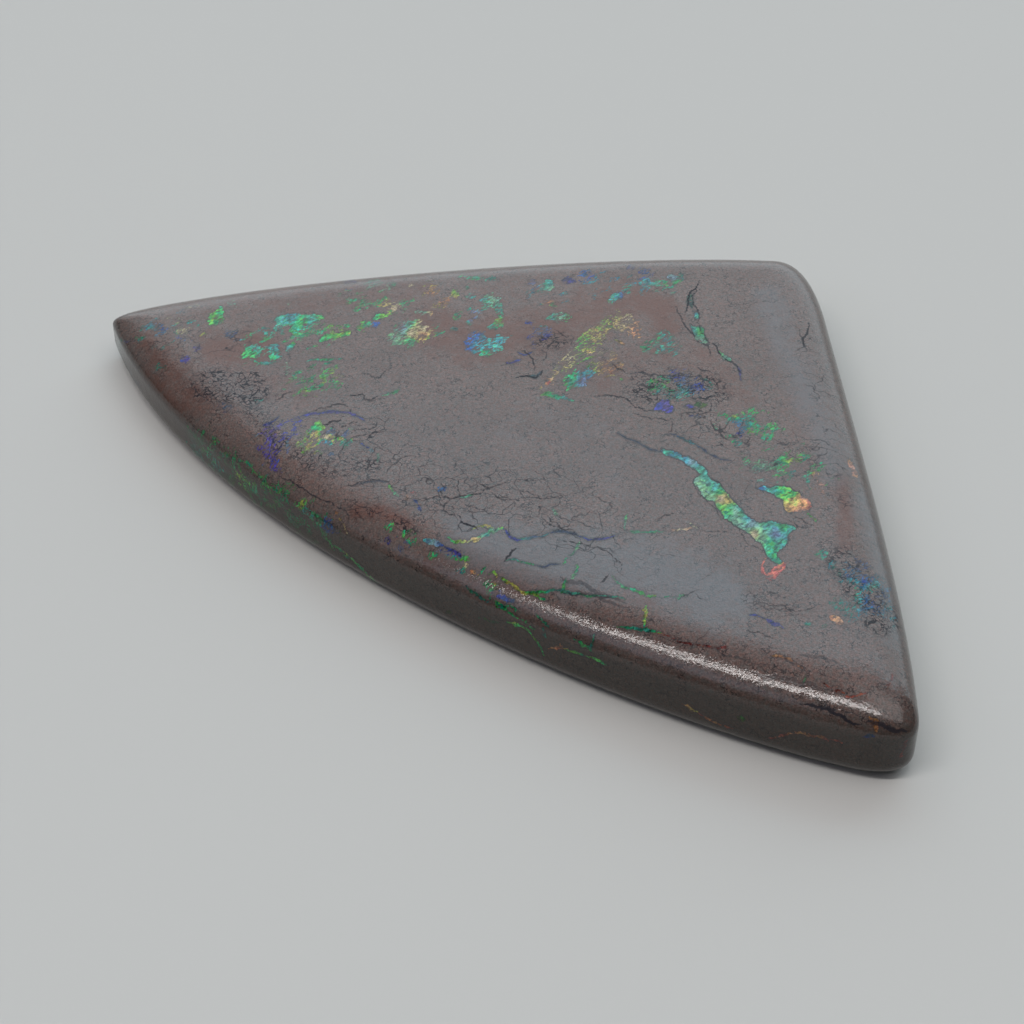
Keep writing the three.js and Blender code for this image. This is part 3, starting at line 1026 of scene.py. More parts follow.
RIGHT_CRACKS = (
    Crack(((699, 280), (697, 286), (691, 291), (688, 299), (687, 310), (684, 316)), 0.15, 1.0),
    Crack(((699, 284), (692, 296), (693, 305), (697, 309), (699, 318), (697, 323)), 0.12, 0.9),
    Crack(((698, 323), (700, 329), (705, 336), (709, 343)), 0.12, 0.8),
    Crack(((674, 307), (677, 306), (677, 312), (682, 321), (686, 327), (692, 333), (700, 342)), 0.13, 0.8),
    Crack(((700, 342), (708, 346), (710, 356)), 0.13, 0.8),
    Crack(((707, 340), (716, 346), (720, 354), (728, 361), (736, 365), (741, 373)), 0.13, 0.9),
    Crack(((744, 320), (747, 312), (750, 305), (757, 302), (765, 301), (772, 303), (780, 300)), 0.07, 0.5),
    Crack(((808, 322), (808, 330), (803, 338), (804, 346), (809, 346)), 0.18, 0.9),
    Crack(((500, 365), (508, 363), (514, 363)), 0.08, 0.8),
    Crack(((520, 350), (528, 354), (533, 359), (535, 366), (535, 373)), 0.13, 0.9),
    Crack(((516, 378), (525, 376), (536, 378), (542, 373), (543, 368)), 0.14, 1.0),
    Crack(((523, 348), (535, 343), (547, 340), (556, 337)), 0.1, 0.6),
    Crack(((541, 350), (547, 353), (546, 358), (540, 361)), 0.1, 0.7),
    Crack(((590, 395), (604, 395), (618, 397), (628, 400), (635, 408), (645, 411), (654, 411)), 0.12, 0.9),
    Crack(((632, 413), (645, 417), (658, 419), (672, 421), (675, 425)), 0.1, 0.8),
    Crack(((672, 424), (672, 431), (667, 434)), 0.12, 0.8),
    Crack(((612, 362), (618, 369), (625, 373)), 0.14, 0.8),
    Crack(((625, 373), (640, 372), (655, 374), (668, 375)), 0.1, 0.8),
    Crack(((697, 367), (705, 371), (713, 373)), 0.12, 0.8),
    Crack(((668, 375), (680, 373), (690, 377), (700, 376), (709, 381), (713, 388)), 0.12, 0.7),
    Crack(((655, 386), (648, 388), (643, 384), (637, 386)), 0.18, 0.7),
    Crack(((686, 394), (695, 399), (707, 400), (716, 396), (722, 397)), 0.12, 0.8),
    Crack(((688, 412), (700, 414), (711, 410), (711, 402)), 0.12, 0.8),
    Crack(((692, 420), (708, 428), (715, 431)), 0.09, 0.7),
    Crack(((710, 420), (716, 430), (725, 434)), 0.15, 0.8),
    Crack(((720, 424), (722, 436), (730, 440)), 0.15, 0.8),
    Crack(((730, 420), (725, 428), (714, 436)), 0.14, 0.7),
    Crack(((697, 475), (693, 482), (700, 495), (712, 505), (720, 516), (735, 525), (764, 552)), 0.1, 0.6),
    Crack(((708, 470), (713, 479), (722, 487), (729, 499), (738, 507), (746, 516), (760, 520)), 0.09, 0.6),
    Crack(((752, 483), (746, 489), (744, 494)), 0.08, 0.6),
    Crack(((793, 516), (800, 519), (806, 523), (815, 525)), 0.12, 0.7),
    Crack(((786, 520), (797, 527), (808, 528)), 0.1, 0.6),
    Crack(((748, 606), (765, 603), (785, 605), (806, 601)), 0.08, 0.7),
    Crack(((760, 612), (780, 610), (800, 611), (822, 606)), 0.08, 0.7),
    Crack(((752, 596), (770, 593), (788, 596), (801, 592)), 0.07, 0.6),
    Crack(((776, 617), (790, 615), (806, 617)), 0.08, 0.6),
    Crack(((744, 632), (760, 633), (778, 637)), 0.1, 0.7),
    Crack(((800, 437), (812, 440), (826, 442), (838, 448)), 0.09, 0.6),
    Crack(((768, 438), (780, 444), (795, 441)), 0.09, 0.6),
    Crack(((765, 655), (790, 663), (815, 672), (836, 680)), 0.1, 0.5),
)
# Painted dark reflections, partly scratches: wide dark streaks along the front shoulder by the highlight,
# laid as cracks in near-black.
SHOULDER_REFLECTION_STREAKS = (
    Crack(((560, 577), (576, 583), (592, 590), (604, 597)), 0.3, 0.5),
    Crack(((575, 590), (592, 595), (612, 603), (630, 608)), 0.22, 0.45),
    Crack(((598, 590), (612, 598), (628, 604)), 0.16, 0.4),
    Crack(((752, 672), (775, 676), (800, 684), (828, 690)), 0.42, 0.45),
    Crack(((700, 645), (730, 656), (760, 664), (786, 672)), 0.16, 0.4),
    Crack(((800, 655), (820, 657), (838, 663)), 0.3, 0.4),
    Crack(((800, 704), (816, 707), (832, 712), (862, 724)), 0.26, 0.9),
    Crack(((824, 704), (846, 712), (866, 720)), 0.1, 0.7),
    Crack(((866, 722), (884, 726), (908, 731)), 0.34, 0.8),
)
CRACKS_AND_REFLECTIONS = LEFT_CRACKS + FRONT_CRACKS + RIGHT_CRACKS + SHOULDER_REFLECTION_STREAKS

RUST_ZONES = (
    Zone(Tint.RUST, ((215, 350), (240, 352), (262, 345)), 2.6, 1.0),
    Zone(Tint.RUST, ((150, 345), (175, 385), (200, 400)), 2.2, 0.6),
    Zone(Tint.RUST, ((150, 380), (180, 410)), 1.6, 0.8),
    Zone(Tint.RUST, ((300, 300), (360, 296), (420, 292)), 2.4, 0.6),
    Zone(Tint.RUST, ((430, 325), (470, 340), (520, 335), (560, 325), (620, 300)), 3.6, 0.85),
    Zone(Tint.RUST, ((640, 300), (660, 310), (665, 325)), 2.4, 1.0),
    Zone(Tint.RUST, ((480, 290), (560, 280), (640, 280)), 2.6, 0.4),
    Zone(Tint.RUST, ((600, 380), (650, 350), (700, 360), (740, 390)), 2.8, 0.55),
    Zone(Tint.RUST, ((275, 460), (300, 470), (330, 490)), 1.3, 0.4),
    Zone(Tint.RUST, ((358, 512), (380, 512), (405, 522)), 1.2, 0.8),
    Zone(Tint.RUST, ((430, 560), (470, 575), (520, 590)), 1.6, 0.6),
    Zone(Tint.RUST, ((842, 480), (846, 510), (845, 545)), 1.3, 0.8),
    Zone(Tint.RUST, ((630, 590), (650, 603)), 1.2, 0.7),
    Zone(Tint.RUST, ((150, 300), (220, 290), (300, 300)), 3.6, 0.55),
    Zone(Tint.RUST, ((170, 360), (240, 370), (300, 400)), 3.4, 0.5),
    Zone(Tint.RUST, ((760, 340), (800, 400), (815, 470)), 2.2, 0.35),
)
# Grey-blue zones, partly ashy ironstone and partly painted reflected sheen, strongest where the top reflects
# the window light.
ASH_AND_SHEEN_ZONES = (
    Zone(Tint.ASH, ((520, 420), (600, 430), (620, 480)), 4.0, 0.35),
    Zone(Tint.ASH, ((470, 545), (560, 560), (650, 570), (720, 600)), 4.5, 1.0),
    Zone(Tint.ASH, ((770, 300), (790, 360), (820, 420), (835, 470)), 2.4, 0.8),
    Zone(Tint.ASH, ((860, 500), (880, 560), (895, 640)), 1.6, 0.7),
    Zone(Tint.ASH, ((380, 385), (360, 410)), 2.5, 0.3),
    Zone(Tint.ASH, ((215, 390), (240, 400)), 1.6, 0.25),
)
DARK_ZONES = (
    Zone(Tint.DARK, ((195, 378), (225, 395), (260, 400)), 1.8, 0.35),
    Zone(Tint.DARK, ((530, 345), (560, 345)), 1.5, 0.2),
    Zone(Tint.DARK, ((845, 575), (865, 595), (880, 615)), 2.2, 0.25),
)
CRACKLE_ZONES = (
    Zone(Tint.CRACKLE, ((208, 382), (228, 388), (252, 388)), 1.9, 0.85),
    Zone(Tint.CRACKLE, ((250, 412), (262, 424), (280, 440)), 1.3, 0.5),
    Zone(Tint.CRACKLE, ((545, 342), (562, 340)), 1.2, 0.7),
    Zone(Tint.CRACKLE, ((640, 385), (680, 385), (715, 392)), 1.8, 0.55),
    Zone(Tint.CRACKLE, ((355, 508), (385, 512), (412, 528)), 1.2, 0.4),
    Zone(Tint.CRACKLE, ((290, 455), (330, 465), (370, 470)), 2.0, 0.3),
    Zone(Tint.CRACKLE, ((845, 565), (865, 590), (885, 620)), 2.2, 0.5),
    Zone(Tint.CRACKLE, ((800, 455), (830, 480), (845, 500)), 1.8, 0.25),
    Zone(Tint.CRACKLE, ((745, 597), (765, 606), (790, 612)), 1.2, 0.35),
)
WEB_ZONES = (
    Zone(Tint.WEB, ((360, 440), (420, 490), (480, 500), (540, 500), (590, 530)), 3.6, 1.0),
    Zone(Tint.WEB, ((560, 540), (640, 575), (700, 600)), 2.4, 0.25),
    Zone(Tint.WEB, ((700, 420), (780, 450), (820, 460)), 2.6, 0.7),
    Zone(Tint.WEB, ((160, 340), (200, 360), (240, 335)), 2.0, 0.4),
    Zone(Tint.WEB, ((802, 330), (828, 400), (842, 450)), 2.0, 0.45),
)
FLECK_ZONES = (
    Zone(Tint.FLECKS, ((150, 330), (190, 335)), 1.8, 0.45, "teal"),
    Zone(Tint.FLECKS, ((250, 345), (290, 335), (330, 330)), 2.0, 0.5, "green"),
    Zone(Tint.FLECKS, ((285, 380), (330, 380)), 1.7, 0.55, "green"),
    Zone(Tint.FLECKS, ((360, 300), (400, 300)), 2.0, 0.5, "green"),
    Zone(Tint.FLECKS, ((395, 330), (430, 330)), 1.6, 0.6, "mint"),
    Zone(Tint.FLECKS, ((430, 290), (460, 300)), 1.4, 0.5, "yellow"),
    Zone(Tint.FLECKS, ((470, 300), (500, 330)), 1.7, 0.55, "teal"),
    Zone(Tint.FLECKS, ((540, 290), (600, 285), (670, 280)), 1.6, 0.45, "cyan"),
    Zone(Tint.FLECKS, ((575, 350), (610, 325)), 1.6, 0.2, "yellow"),
    Zone(Tint.FLECKS, ((550, 380), (590, 375)), 1.4, 0.55, "green"),
    Zone(Tint.FLECKS, ((650, 340), (670, 345)), 1.3, 0.5, "teal"),
    Zone(Tint.FLECKS, ((650, 385), (700, 385)), 1.6, 0.45, "slate"),
    Zone(Tint.FLECKS, ((730, 420), (770, 430)), 1.8, 0.5, "green"),
    Zone(Tint.FLECKS, ((760, 465), (800, 460), (820, 480)), 1.9, 0.5, "green"),
    Zone(Tint.FLECKS, ((845, 575), (860, 590), (885, 605)), 2.4, 0.4, "cyan"),
    Zone(Tint.FLECKS, ((310, 435), (345, 440)), 1.5, 0.5, "lime"),
    Zone(Tint.FLECKS, ((400, 535), (470, 570), (500, 590)), 1.4, 0.45, "green"),
    Zone(Tint.FLECKS, ((195, 445), (250, 485), (320, 530)), 2.2, 0.7, "green"),
)
HIDDEN_ZONES = (
    Zone(Tint.WEB, ((200, 325), (400, 310), (620, 300)), 3.5, 0.8, hidden=True),
    Zone(Tint.WEB, ((810, 340), (860, 470), (900, 660)), 3.5, 0.8, hidden=True),
    Zone(Tint.CRACKLE, ((460, 310), (520, 305)), 2.6, 0.8, hidden=True),
    Zone(Tint.CRACKLE, ((870, 560), (885, 620)), 2.6, 0.8, hidden=True),
    Zone(Tint.RUST, ((250, 320), (380, 312)), 3.5, 1.0, hidden=True),
    Zone(Tint.RUST, ((640, 300), (760, 295)), 3.5, 0.9, hidden=True),
    Zone(Tint.RUST, ((840, 440), (860, 520)), 3.2, 1.0, hidden=True),
    Zone(Tint.FLECKS, ((180, 330), (260, 320)), 3.0, 0.45, "green", hidden=True),
    Zone(Tint.FLECKS, ((330, 315), (430, 308)), 3.0, 0.4, "lime", hidden=True),
    Zone(Tint.FLECKS, ((560, 300), (680, 295)), 3.0, 0.45, "cyan", hidden=True),
    Zone(Tint.FLECKS, ((820, 350), (845, 420)), 3.0, 0.45, "teal", hidden=True),
    Zone(Tint.FLECKS, ((862, 500), (880, 560)), 3.0, 0.4, "orange", hidden=True),
    Zone(Tint.FLECKS, ((890, 600), (905, 680)), 3.0, 0.4, "blue", hidden=True),
)
ZONES = RUST_ZONES + ASH_AND_SHEEN_ZONES + DARK_ZONES + CRACKLE_ZONES + WEB_ZONES + FLECK_ZONES + HIDDEN_ZONES


def roughened(path: Path, rng: np.random.Generator, amount: float, step: float = 1.5) -> np.ndarray:
    """Breaks a path into short uneven steps, as a crack in stone runs.

    Args:
        path: The path's corners, in pixels.
        rng: The source of the unevenness.
        amount: How far a midpoint moves sideways, as a share of its step.
        step: The longest step that is left, in pixels.

    Returns:
        An array of the path's points.
    """
    points = np.array(path, dtype=float)
    while np.hypot(*np.diff(points, axis=0).T).max() > step:
        steps = np.diff(points, axis=0)
        sideways = np.stack([-steps[:, 1], steps[:, 0]], axis=1)
        middles = points[:-1] + steps / 2 + sideways * rng.uniform(-amount, amount, (len(steps), 1))
        joined = np.empty((len(points) + len(middles), 2))
        joined[0::2] = points
        joined[1::2] = middles
        points = joined
    return points


def along(points: np.ndarray, path: np.ndarray) -> tuple[np.ndarray, np.ndarray]:
    """Measures points against a path.

    Args:
        points: An array of N points.
        path: An array of the path's points, at least two.

    Returns:
        The distance of each point from the path, and how far along it that is, from 0 to 1.
    """
    start, step = path[:-1], np.diff(path, axis=0)
    length = np.maximum(np.hypot(*step.T), TINY)
    ahead = points[:, None, :] - start[None]
    share = np.clip((ahead * step).sum(axis=2) / length**2, 0.0, 1.0)
    gap = np.linalg.norm(ahead - share[..., None] * step, axis=2)
    nearest = gap.argmin(axis=1)
    row = np.arange(len(points))
    run = np.concatenate([[0.0], np.cumsum(length)])
    return gap[row, nearest], (run[nearest] + share[row, nearest] * length[nearest]) / run[-1]


def inside(points: np.ndarray, outline: np.ndarray) -> np.ndarray:
    """Tells which points lie inside a closed outline.

    Args:
        points: An array of N points.
        outline: An array of the outline's points, the last the same as the first.

    Returns:
        True for each point inside.
    """
    (x1, y1), (x2, y2) = outline[:-1].T, outline[1:].T
    x, y = points[:, :1], points[:, 1:]
    crossed = (y1 > y) != (y2 > y)
    rise = np.where(y2 == y1, 1.0, y2 - y1)
    left = x < x1 + (y - y1) * (x2 - x1) / rise
    return (crossed & left).sum(axis=1) % 2 == 1


def near(points: np.ndarray, path: np.ndarray, reach: float) -> np.ndarray:
    """Picks the points inside a path's bounding box, widened by a reach.

    Args:
        points: An array of N points.
        path: An array of the path's points.
        reach: How far to widen the box.

    Returns:
        The indices of the points inside.
    """
    low, high = path.min(axis=0) - reach, path.max(axis=0) + reach
    return np.nonzero(((points >= low) & (points <= high)).all(axis=1))[0]


@dataclass(frozen=True)
class Trace:
    """A marking with its roughened course, ready to be laid on the skin."""

    mark: Seam | Patch | Crack
    path: np.ndarray

    def distance(self, points: np.ndarray) -> np.ndarray:
        """How far points lie from the marking's own path, negative inside a patch."""
        gap, _ = along(points, self.path)
        return np.where(inside(points, self.path), -gap, gap) if isinstance(self.mark, Patch) else gap


class Markings:
    """Lays the seams, crack lines, painted dark reflection streaks and zones on the stone's skin, as layers
    of numbers on its mesh.
    """

    SPILL = 0.3
    FAR = -1.0
    PATCH_UNEVENNESS = 0.12
    SEAM_UNEVENNESS = 0.1
    CRACK_UNEVENNESS = 0.16
    PATCH_RIM = 1.0
    SEAM_RIM = 0.5

    def __init__(self, view: PhotoView, seed: int = 7) -> None:
        """Roughens every seam and crack once, so that the mesh and its layers share them.

        Args:
            view: The viewpoint whose pixels the paths are given in.
            seed: The seed of the unevenness.
        """
        self.view = view
        rng = np.random.default_rng(seed)
        self.patches = [
            Trace(patch, roughened((*patch.outline, patch.outline[0]), rng, self.PATCH_UNEVENNESS))
            for patch in PATCHES
        ]
        self.seams = [Trace(seam, roughened(seam.path, rng, self.SEAM_UNEVENNESS)) for seam in SEAMS]
        self.cracks_and_reflections = [Trace(crack, roughened(crack.path, rng, self.CRACK_UNEVENNESS)) for crack in CRACKS_AND_REFLECTIONS]

    def layers(self, points: np.ndarray, facing: np.ndarray) -> Layers:
        """Works out every layer of the mesh.

        Args:
            points: The places of the mesh's vertices, in millimetres.
            facing: True for each vertex whose skin the photograph's viewpoint sees.

        Returns:
            The layers' values by name, one value to a vertex.
        """
        pixels = self.view.pixels(points)
        names = ("opal_hue", "opal_milk", "opal_glow", "opal_lace", "opal_rim")
        layers = {name: np.zeros(len(points)) for name in names}
        layers["opal_depth"] = np.full(len(points), self.FAR)
        layers["crack_and_reflection_depth"] = np.full(len(points), self.FAR)
        layers["crack_and_reflection_dark"] = np.zeros(len(points))
        self._lay_zones(layers, pixels, facing)
        seen = np.nonzero(facing)[0]
        self._lay_patches(layers, pixels, seen)
        self._lay_seams(layers, pixels, seen)
        self._lay_cracks_and_reflections(layers, pixels, seen)
        return layers

    def _lay_zones(self, layers: Layers, pixels: np.ndarray, facing: np.ndarray) -> None:
        """Adds a layer for each tint, and gives flecks their hue where no seam is."""
        for tint in Tint:
            layers[tint.value] = np.zeros(len(pixels))
        layers["opal_hue"][:] = Hue.GREEN.value[0]
        for zone in ZONES:
            path = np.array(zone.path, dtype=float)
            reach = zone.reach * self.view.pixels_per_mm
            chosen = near(pixels, path, reach)
            chosen = chosen[facing[chosen] != zone.hidden]
            distance, _ = along(pixels[chosen], path)
            fall = np.clip(1 - distance / reach, 0.0, 1.0)
            strength = zone.strength * fall * fall * (3 - 2 * fall)
            layer = layers[zone.tint.value]
            stronger = strength > layer[chosen]
            layer[chosen[stronger]] = strength[stronger]
            if zone.tint is Tint.FLECKS:
                layers["opal_hue"][chosen[stronger]] = Hue.named(zone.hue)[0]

    def _lay_patches(self, layers: Layers, pixels: np.ndarray, seen: np.ndarray) -> None:
        """Lays each patch, with its hues blended between its spots."""
        scale = self.view.pixels_per_mm
        for trace in self.patches:
            chosen = seen[near(pixels[seen], trace.path, self.SPILL * scale)]
            depth = -trace.distance(pixels[chosen]) / scale
            deeper = depth > np.maximum(layers["opal_depth"][chosen], -self.SPILL)
            where = chosen[deeper]
            self._lay_opal(layers, trace.mark, where, depth[deeper], trace.mark.spectrum(pixels[where]))

    def _lay_seams(self, layers: Layers, pixels: np.ndarray, seen: np.ndarray) -> None:
        """Lays each seam, with its hues blended from end to end."""
        for trace in self.seams:
            where, depth, share = self._line(trace, pixels, seen, layers["opal_depth"])
            spectrum = trace.mark.spectrum()
            stops = np.linspace(0.0, 1.0, len(spectrum))
            values = np.stack([np.interp(share, stops, column) for column in spectrum.T], axis=1)
            self._lay_opal(layers, trace.mark, where, depth, values)

    def _lay_cracks_and_reflections(self, layers: Layers, pixels: np.ndarray, seen: np.ndarray) -> None:
        """Lays each crack and each painted dark reflection streak, with its own darkness."""
        for trace in self.cracks_and_reflections:
            where, depth, _ = self._line(trace, pixels, seen, layers["crack_and_reflection_depth"])
            layers["crack_and_reflection_depth"][where] = depth
            layers["crack_and_reflection_dark"][where] = trace.mark.depth

    def _line(self, trace: Trace, pixels: np.ndarray, seen: np.ndarray, laid: np.ndarray) -> tuple:
        """Finds where a seam or crack lies deeper than the ones before it.

        Args:
            trace: The seam or crack.
            pixels: Where each vertex shows in the photograph's frame.
            seen: The vertices that the viewpoint sees.
            laid: The depth laid so far at each vertex.

        Returns:
            Those vertices, the depth at each in millimetres, and how far along it each lies.
        """
        mark, scale = trace.mark, self.view.pixels_per_mm
        chosen = seen[near(pixels[seen], trace.path, (mark.width / 2 + self.SPILL) * scale)]
        distance, share = along(pixels[chosen], trace.path)
        bulge = 1 - np.abs(2 * share - 1) ** 3
        depth = mark.width / 2 * (mark.taper + (1 - mark.taper) * bulge) - distance / scale
        deeper = depth > np.maximum(laid[chosen], -self.SPILL)
        return chosen[deeper], depth[deeper], share[deeper]

    def _lay_opal(
        self, layers: Layers, mark: Seam | Patch, where: np.ndarray, depth: np.ndarray, spectrum: np.ndarray
    ) -> None:
        """Writes a seam's or patch's values to the opal's layers.

        Args:
            layers: The layers.
            mark: The seam or patch.
            where: The vertices that it covers.
            depth: Its depth at each of them, in millimetres.
            spectrum: A place in the spectrum and a milkiness for each of them.
        """
        layers["opal_hue"][where] = spectrum[:, 0]
        layers["opal_milk"][where] = spectrum[:, 1]
        layers["opal_depth"][where] = depth
        layers["opal_glow"][where] = mark.glow
        layers["opal_lace"][where] = mark.lace
        layers["opal_rim"][where] = self.PATCH_RIM if isinstance(mark, Patch) else self.SEAM_RIM


@dataclass(frozen=True)
class PolishedFinish:
    """The finish of the polished faces: colours of the ironstone and the opal, and the gloss.

    Attributes:
        rust_most: The greatest share of rust in the ironstone.
        ash_and_sheen_most: The greatest share of the grey-blue zones in it, partly ashy ironstone and partly
            painted sheen.
        hairline_dark: How dark the finest hairlines are, from 0 to 1.
        gloss_range: How far the roughness strays either way.
        opal_roughness: What opal adds to the roughness.
        crack_roughness: What a crack adds to it.
        specular: The shine of the closed skin.
        open_specular: The shine in an open crack.
        crack_edge: How soft a crack's edge is, in millimetres.
        crack_height: How high a crack stands in the relief.
        bump_depth: The depth of the relief, in millimetres.
        hue_jitter: How far the cells of one seam differ in hue, either way.
    """

    umber: Colour = (0.152, 0.109, 0.1)
    umber_dark: Colour = (0.122, 0.088, 0.081)
    rust: Colour = (0.125, 0.038, 0.022)
    # Grey-blue tone: partly ashy ironstone, partly painted reflected sheen.
    ash: Colour = (0.148, 0.156, 0.172)
    # Near-black of the crack lines, also used for the painted dark reflection streaks on the front shoulder.
    crack: Colour = (0.012, 0.012, 0.018)
    # Painted shade: the tone that darkens the shoulder, the wall and the base roll.
    wall_shade: Colour = (0.27, 0.29, 0.26)
    milk: Colour = (0.42, 0.42, 0.34)
    rust_most: float = 0.68
    ash_and_sheen_most: float = 0.6
    hairline_dark: float = 0.88
    roughness: float = 0.12
    gloss_range: float = 0.05
    opal_roughness: float = -0.05
    crack_roughness: float = 0.2
    specular: float = 0.5
    open_specular: float = 0.15
    ior: float = 1.5
    crack_edge: float = 0.04
    crack_height: float = -0.5
    bump_strength: float = 0.6
    bump_depth: float = 0.02
    hue_jitter: float = 0.055
    strand_angle: float = math.radians(45.0)
    strand_stretch: float = 2.2
    hairline_angle: float = math.radians(-20.0)
    hairline_stretch: float = 1.5
    spectrum: tuple[tuple[float, Colour], ...] = (
        (0.0, (0.42, 0.09, 0.08)),
        (0.14, (0.56, 0.25, 0.1)),
        (0.29, (0.5, 0.4, 0.08)),
        (0.38, (0.12, 0.46, 0.05)),
        (0.46, (0.01, 0.44, 0.14)),
        (0.55, (0.01, 0.36, 0.28)),
        (0.62, (0.015, 0.28, 0.34)),
        (0.76, (0.02, 0.1, 0.38)),
        (0.86, (0.045, 0.04, 0.34)),
        (0.95, (0.075, 0.04, 0.22)),
    )


@dataclass(frozen=True)
class GroundFinish:
    """The finish of the flat underside, which is ground smooth but not polished."""

    tone: Colour = (0.11, 0.08, 0.068)
    tone_dark: Colour = (0.06, 0.044, 0.038)
    roughness: float = 0.5
    relief_roughness: float = 0.05
    ior: float = 1.5
    bump_strength: float = 0.5
    bump_depth: float = 0.03


class Graph:
    """A hand for laying out the nodes of a material or a group.

    The three numbers are where a Mix node keeps its colours, which share their names with others.
    """

    MIX_UNDER = 6
    MIX_OVER = 7
    MIX_RESULT = 2
    STRAND_EDGE = 0.025

    def __init__(self, tree: bpy.types.NodeTree) -> None:
        """Takes the tree to lay out."""
        self.tree = tree

    def node(self, kind: str, **settings: object) -> bpy.types.Node:
        """Adds a node.

        Args:
            kind: The node's type.
            settings: The node's own options.

        Returns:
            The node.
        """
        node = self.tree.nodes.new(kind)
        for name, value in settings.items():
            setattr(node, name, value)
        return node

    def feed(self, socket: Socket, value: object) -> None:
        """Links a socket to another one, or sets it to a plain value."""
        if isinstance(value, Socket):
            self.tree.links.new(value, socket)
        elif value is not None:
            socket.default_value = (*value, 1.0) if socket.type == "RGBA" else value

    def math(self, operation: str, *values: object) -> Socket:
        """Adds a Math node.

        Args:
            operation: What it works out.
            values: Its inputs, as sockets or numbers.

        Returns:
            The result.
        """
        node = self.node("ShaderNodeMath", operation=operation)
        for socket, value in zip(node.inputs, values):
            self.feed(socket, value)
        return node.outputs[0]

    def plus(self, first: object, second: object) -> Socket:
        """Adds two values."""
        return self.math("ADD", first, second)

    def times(self, first: object, second: object) -> Socket:
        """Multiplies two values."""
        return self.math("MULTIPLY", first, second)

    def ramp_up(self, value: object, low: object, high: object) -> Socket:
        """Rises smoothly from 0 at the low value to 1 at the high one."""
        node = self.node("ShaderNodeMapRange", interpolation_type="SMOOTHSTEP")
        for name, given in (("Value", value), ("From Min", low), ("From Max", high)):
            self.feed(node.inputs[name], given)
        return node.outputs["Result"]

    def spread(self, value: object, low: float, high: float) -> Socket:
        """Turns a value from 0 to 1 into one from low to high."""
        return self.math("MULTIPLY_ADD", value, high - low, low)

    def blend(self, share: object, under: object, over: object, way: str = "MIX") -> Socket:
        """Mixes two colours.

        Args:
            share: How much of the second colour shows.
            under: The first colour.
            over: The second colour.
            way: The way of mixing.

        Returns:
            The mixed colour.
        """
        node = self.node("ShaderNodeMix", data_type="RGBA", blend_type=way)
        self.feed(node.inputs["Factor"], share)
        self.feed(node.inputs[self.MIX_UNDER], under)
        self.feed(node.inputs[self.MIX_OVER], over)
        return node.outputs[self.MIX_RESULT]

    def noise(self, place: object, scale: float, detail: float = 2.0, rough: float = 0.5) -> bpy.types.Node:
        """Adds a Noise texture, with its scale in turns per millimetre."""
        node = self.node("ShaderNodeTexNoise")
        self.feed(node.inputs["Vector"], place)
        node.inputs["Scale"].default_value = scale
        node.inputs["Detail"].default_value = detail
        node.inputs["Roughness"].default_value = rough
        return node

    def cells(self, place: object, scale: float, feature: str = "F1") -> bpy.types.Node:
        """Adds a Voronoi texture, with its scale in cells per millimetre."""
        node = self.node("ShaderNodeTexVoronoi", feature=feature)
        self.feed(node.inputs["Vector"], place)
        node.inputs["Scale"].default_value = scale
        return node

    def layer(self, name: str) -> Socket:
        """Reads a layer of the mesh."""
        return self.node("ShaderNodeAttribute", attribute_type="GEOMETRY", attribute_name=name).outputs["Fac"]

    def millimetres(self) -> Socket:
        """The place on the stone, in millimetres."""
        scale = self.node("ShaderNodeVectorMath", operation="SCALE")
        self.feed(scale.inputs[0], self.node("ShaderNodeTexCoord").outputs["Object"])
        scale.inputs["Scale"].default_value = 1 / MM
        return scale.outputs[0]

    def combed(self, place: object, angle: float, stretch: float) -> Socket:
        """Draws places together along one direction, so that a texture runs in strands.

        Args:
            place: The places.
            angle: The strands' direction in plan, in radians from +X.
            stretch: How many times longer than wide the strands are.

        Returns:
            The combed places.
        """
        mapping = self.node("ShaderNodeMapping", vector_type="TEXTURE")
        self.feed(mapping.inputs["Vector"], place)
        mapping.inputs["Rotation"].default_value = (0.0, 0.0, angle)
        mapping.inputs["Scale"].default_value = (stretch, 1.0, 1.0)
        return mapping.outputs["Vector"]

    def joined(self, value: object) -> Socket:
        """Turns one value into a grey colour."""
        node = self.node("ShaderNodeCombineColor")
        for socket in node.inputs:
            self.feed(socket, value)
        return node.outputs[0]

    def strands(self, place: object, scale: float, width: object) -> Socket:
        """Draws fine wandering strands, along the level lines of a noise.

        Args:
            place: The places.
            scale: The noise's turns per millimetre.
            width: How wide the strands are, from 0 to about 0.3, which fills nearly everything.

        Returns:
            1 in the middle of a strand and 0 outside it.
        """
        level = self.noise(place, scale, 3.0, 0.6).outputs["Fac"]
        away = self.math("ABSOLUTE", self.math("SUBTRACT", level, 0.5))
        outside = self.ramp_up(self.math("SUBTRACT", away, width), 0.0, self.STRAND_EDGE)
        return self.math("SUBTRACT", 1.0, outside)

    def stirred(self, place: object, scale: float, amount: float) -> Socket:
        """Shifts places by a soft noise, so that a regular texture runs unevenly.

        Args:
            place: The places.
            scale: The noise's turns per millimetre.
            amount: The size of the shift, in millimetres.

        Returns:
            The shifted places.
        """
        shift = self.node("ShaderNodeVectorMath", operation="MULTIPLY_ADD")
        self.feed(shift.inputs[0], self.noise(place, scale).outputs["Color"])
        shift.inputs[1].default_value = (amount,) * 3
        self.feed(shift.inputs[2], place)
        return shift.outputs[0]

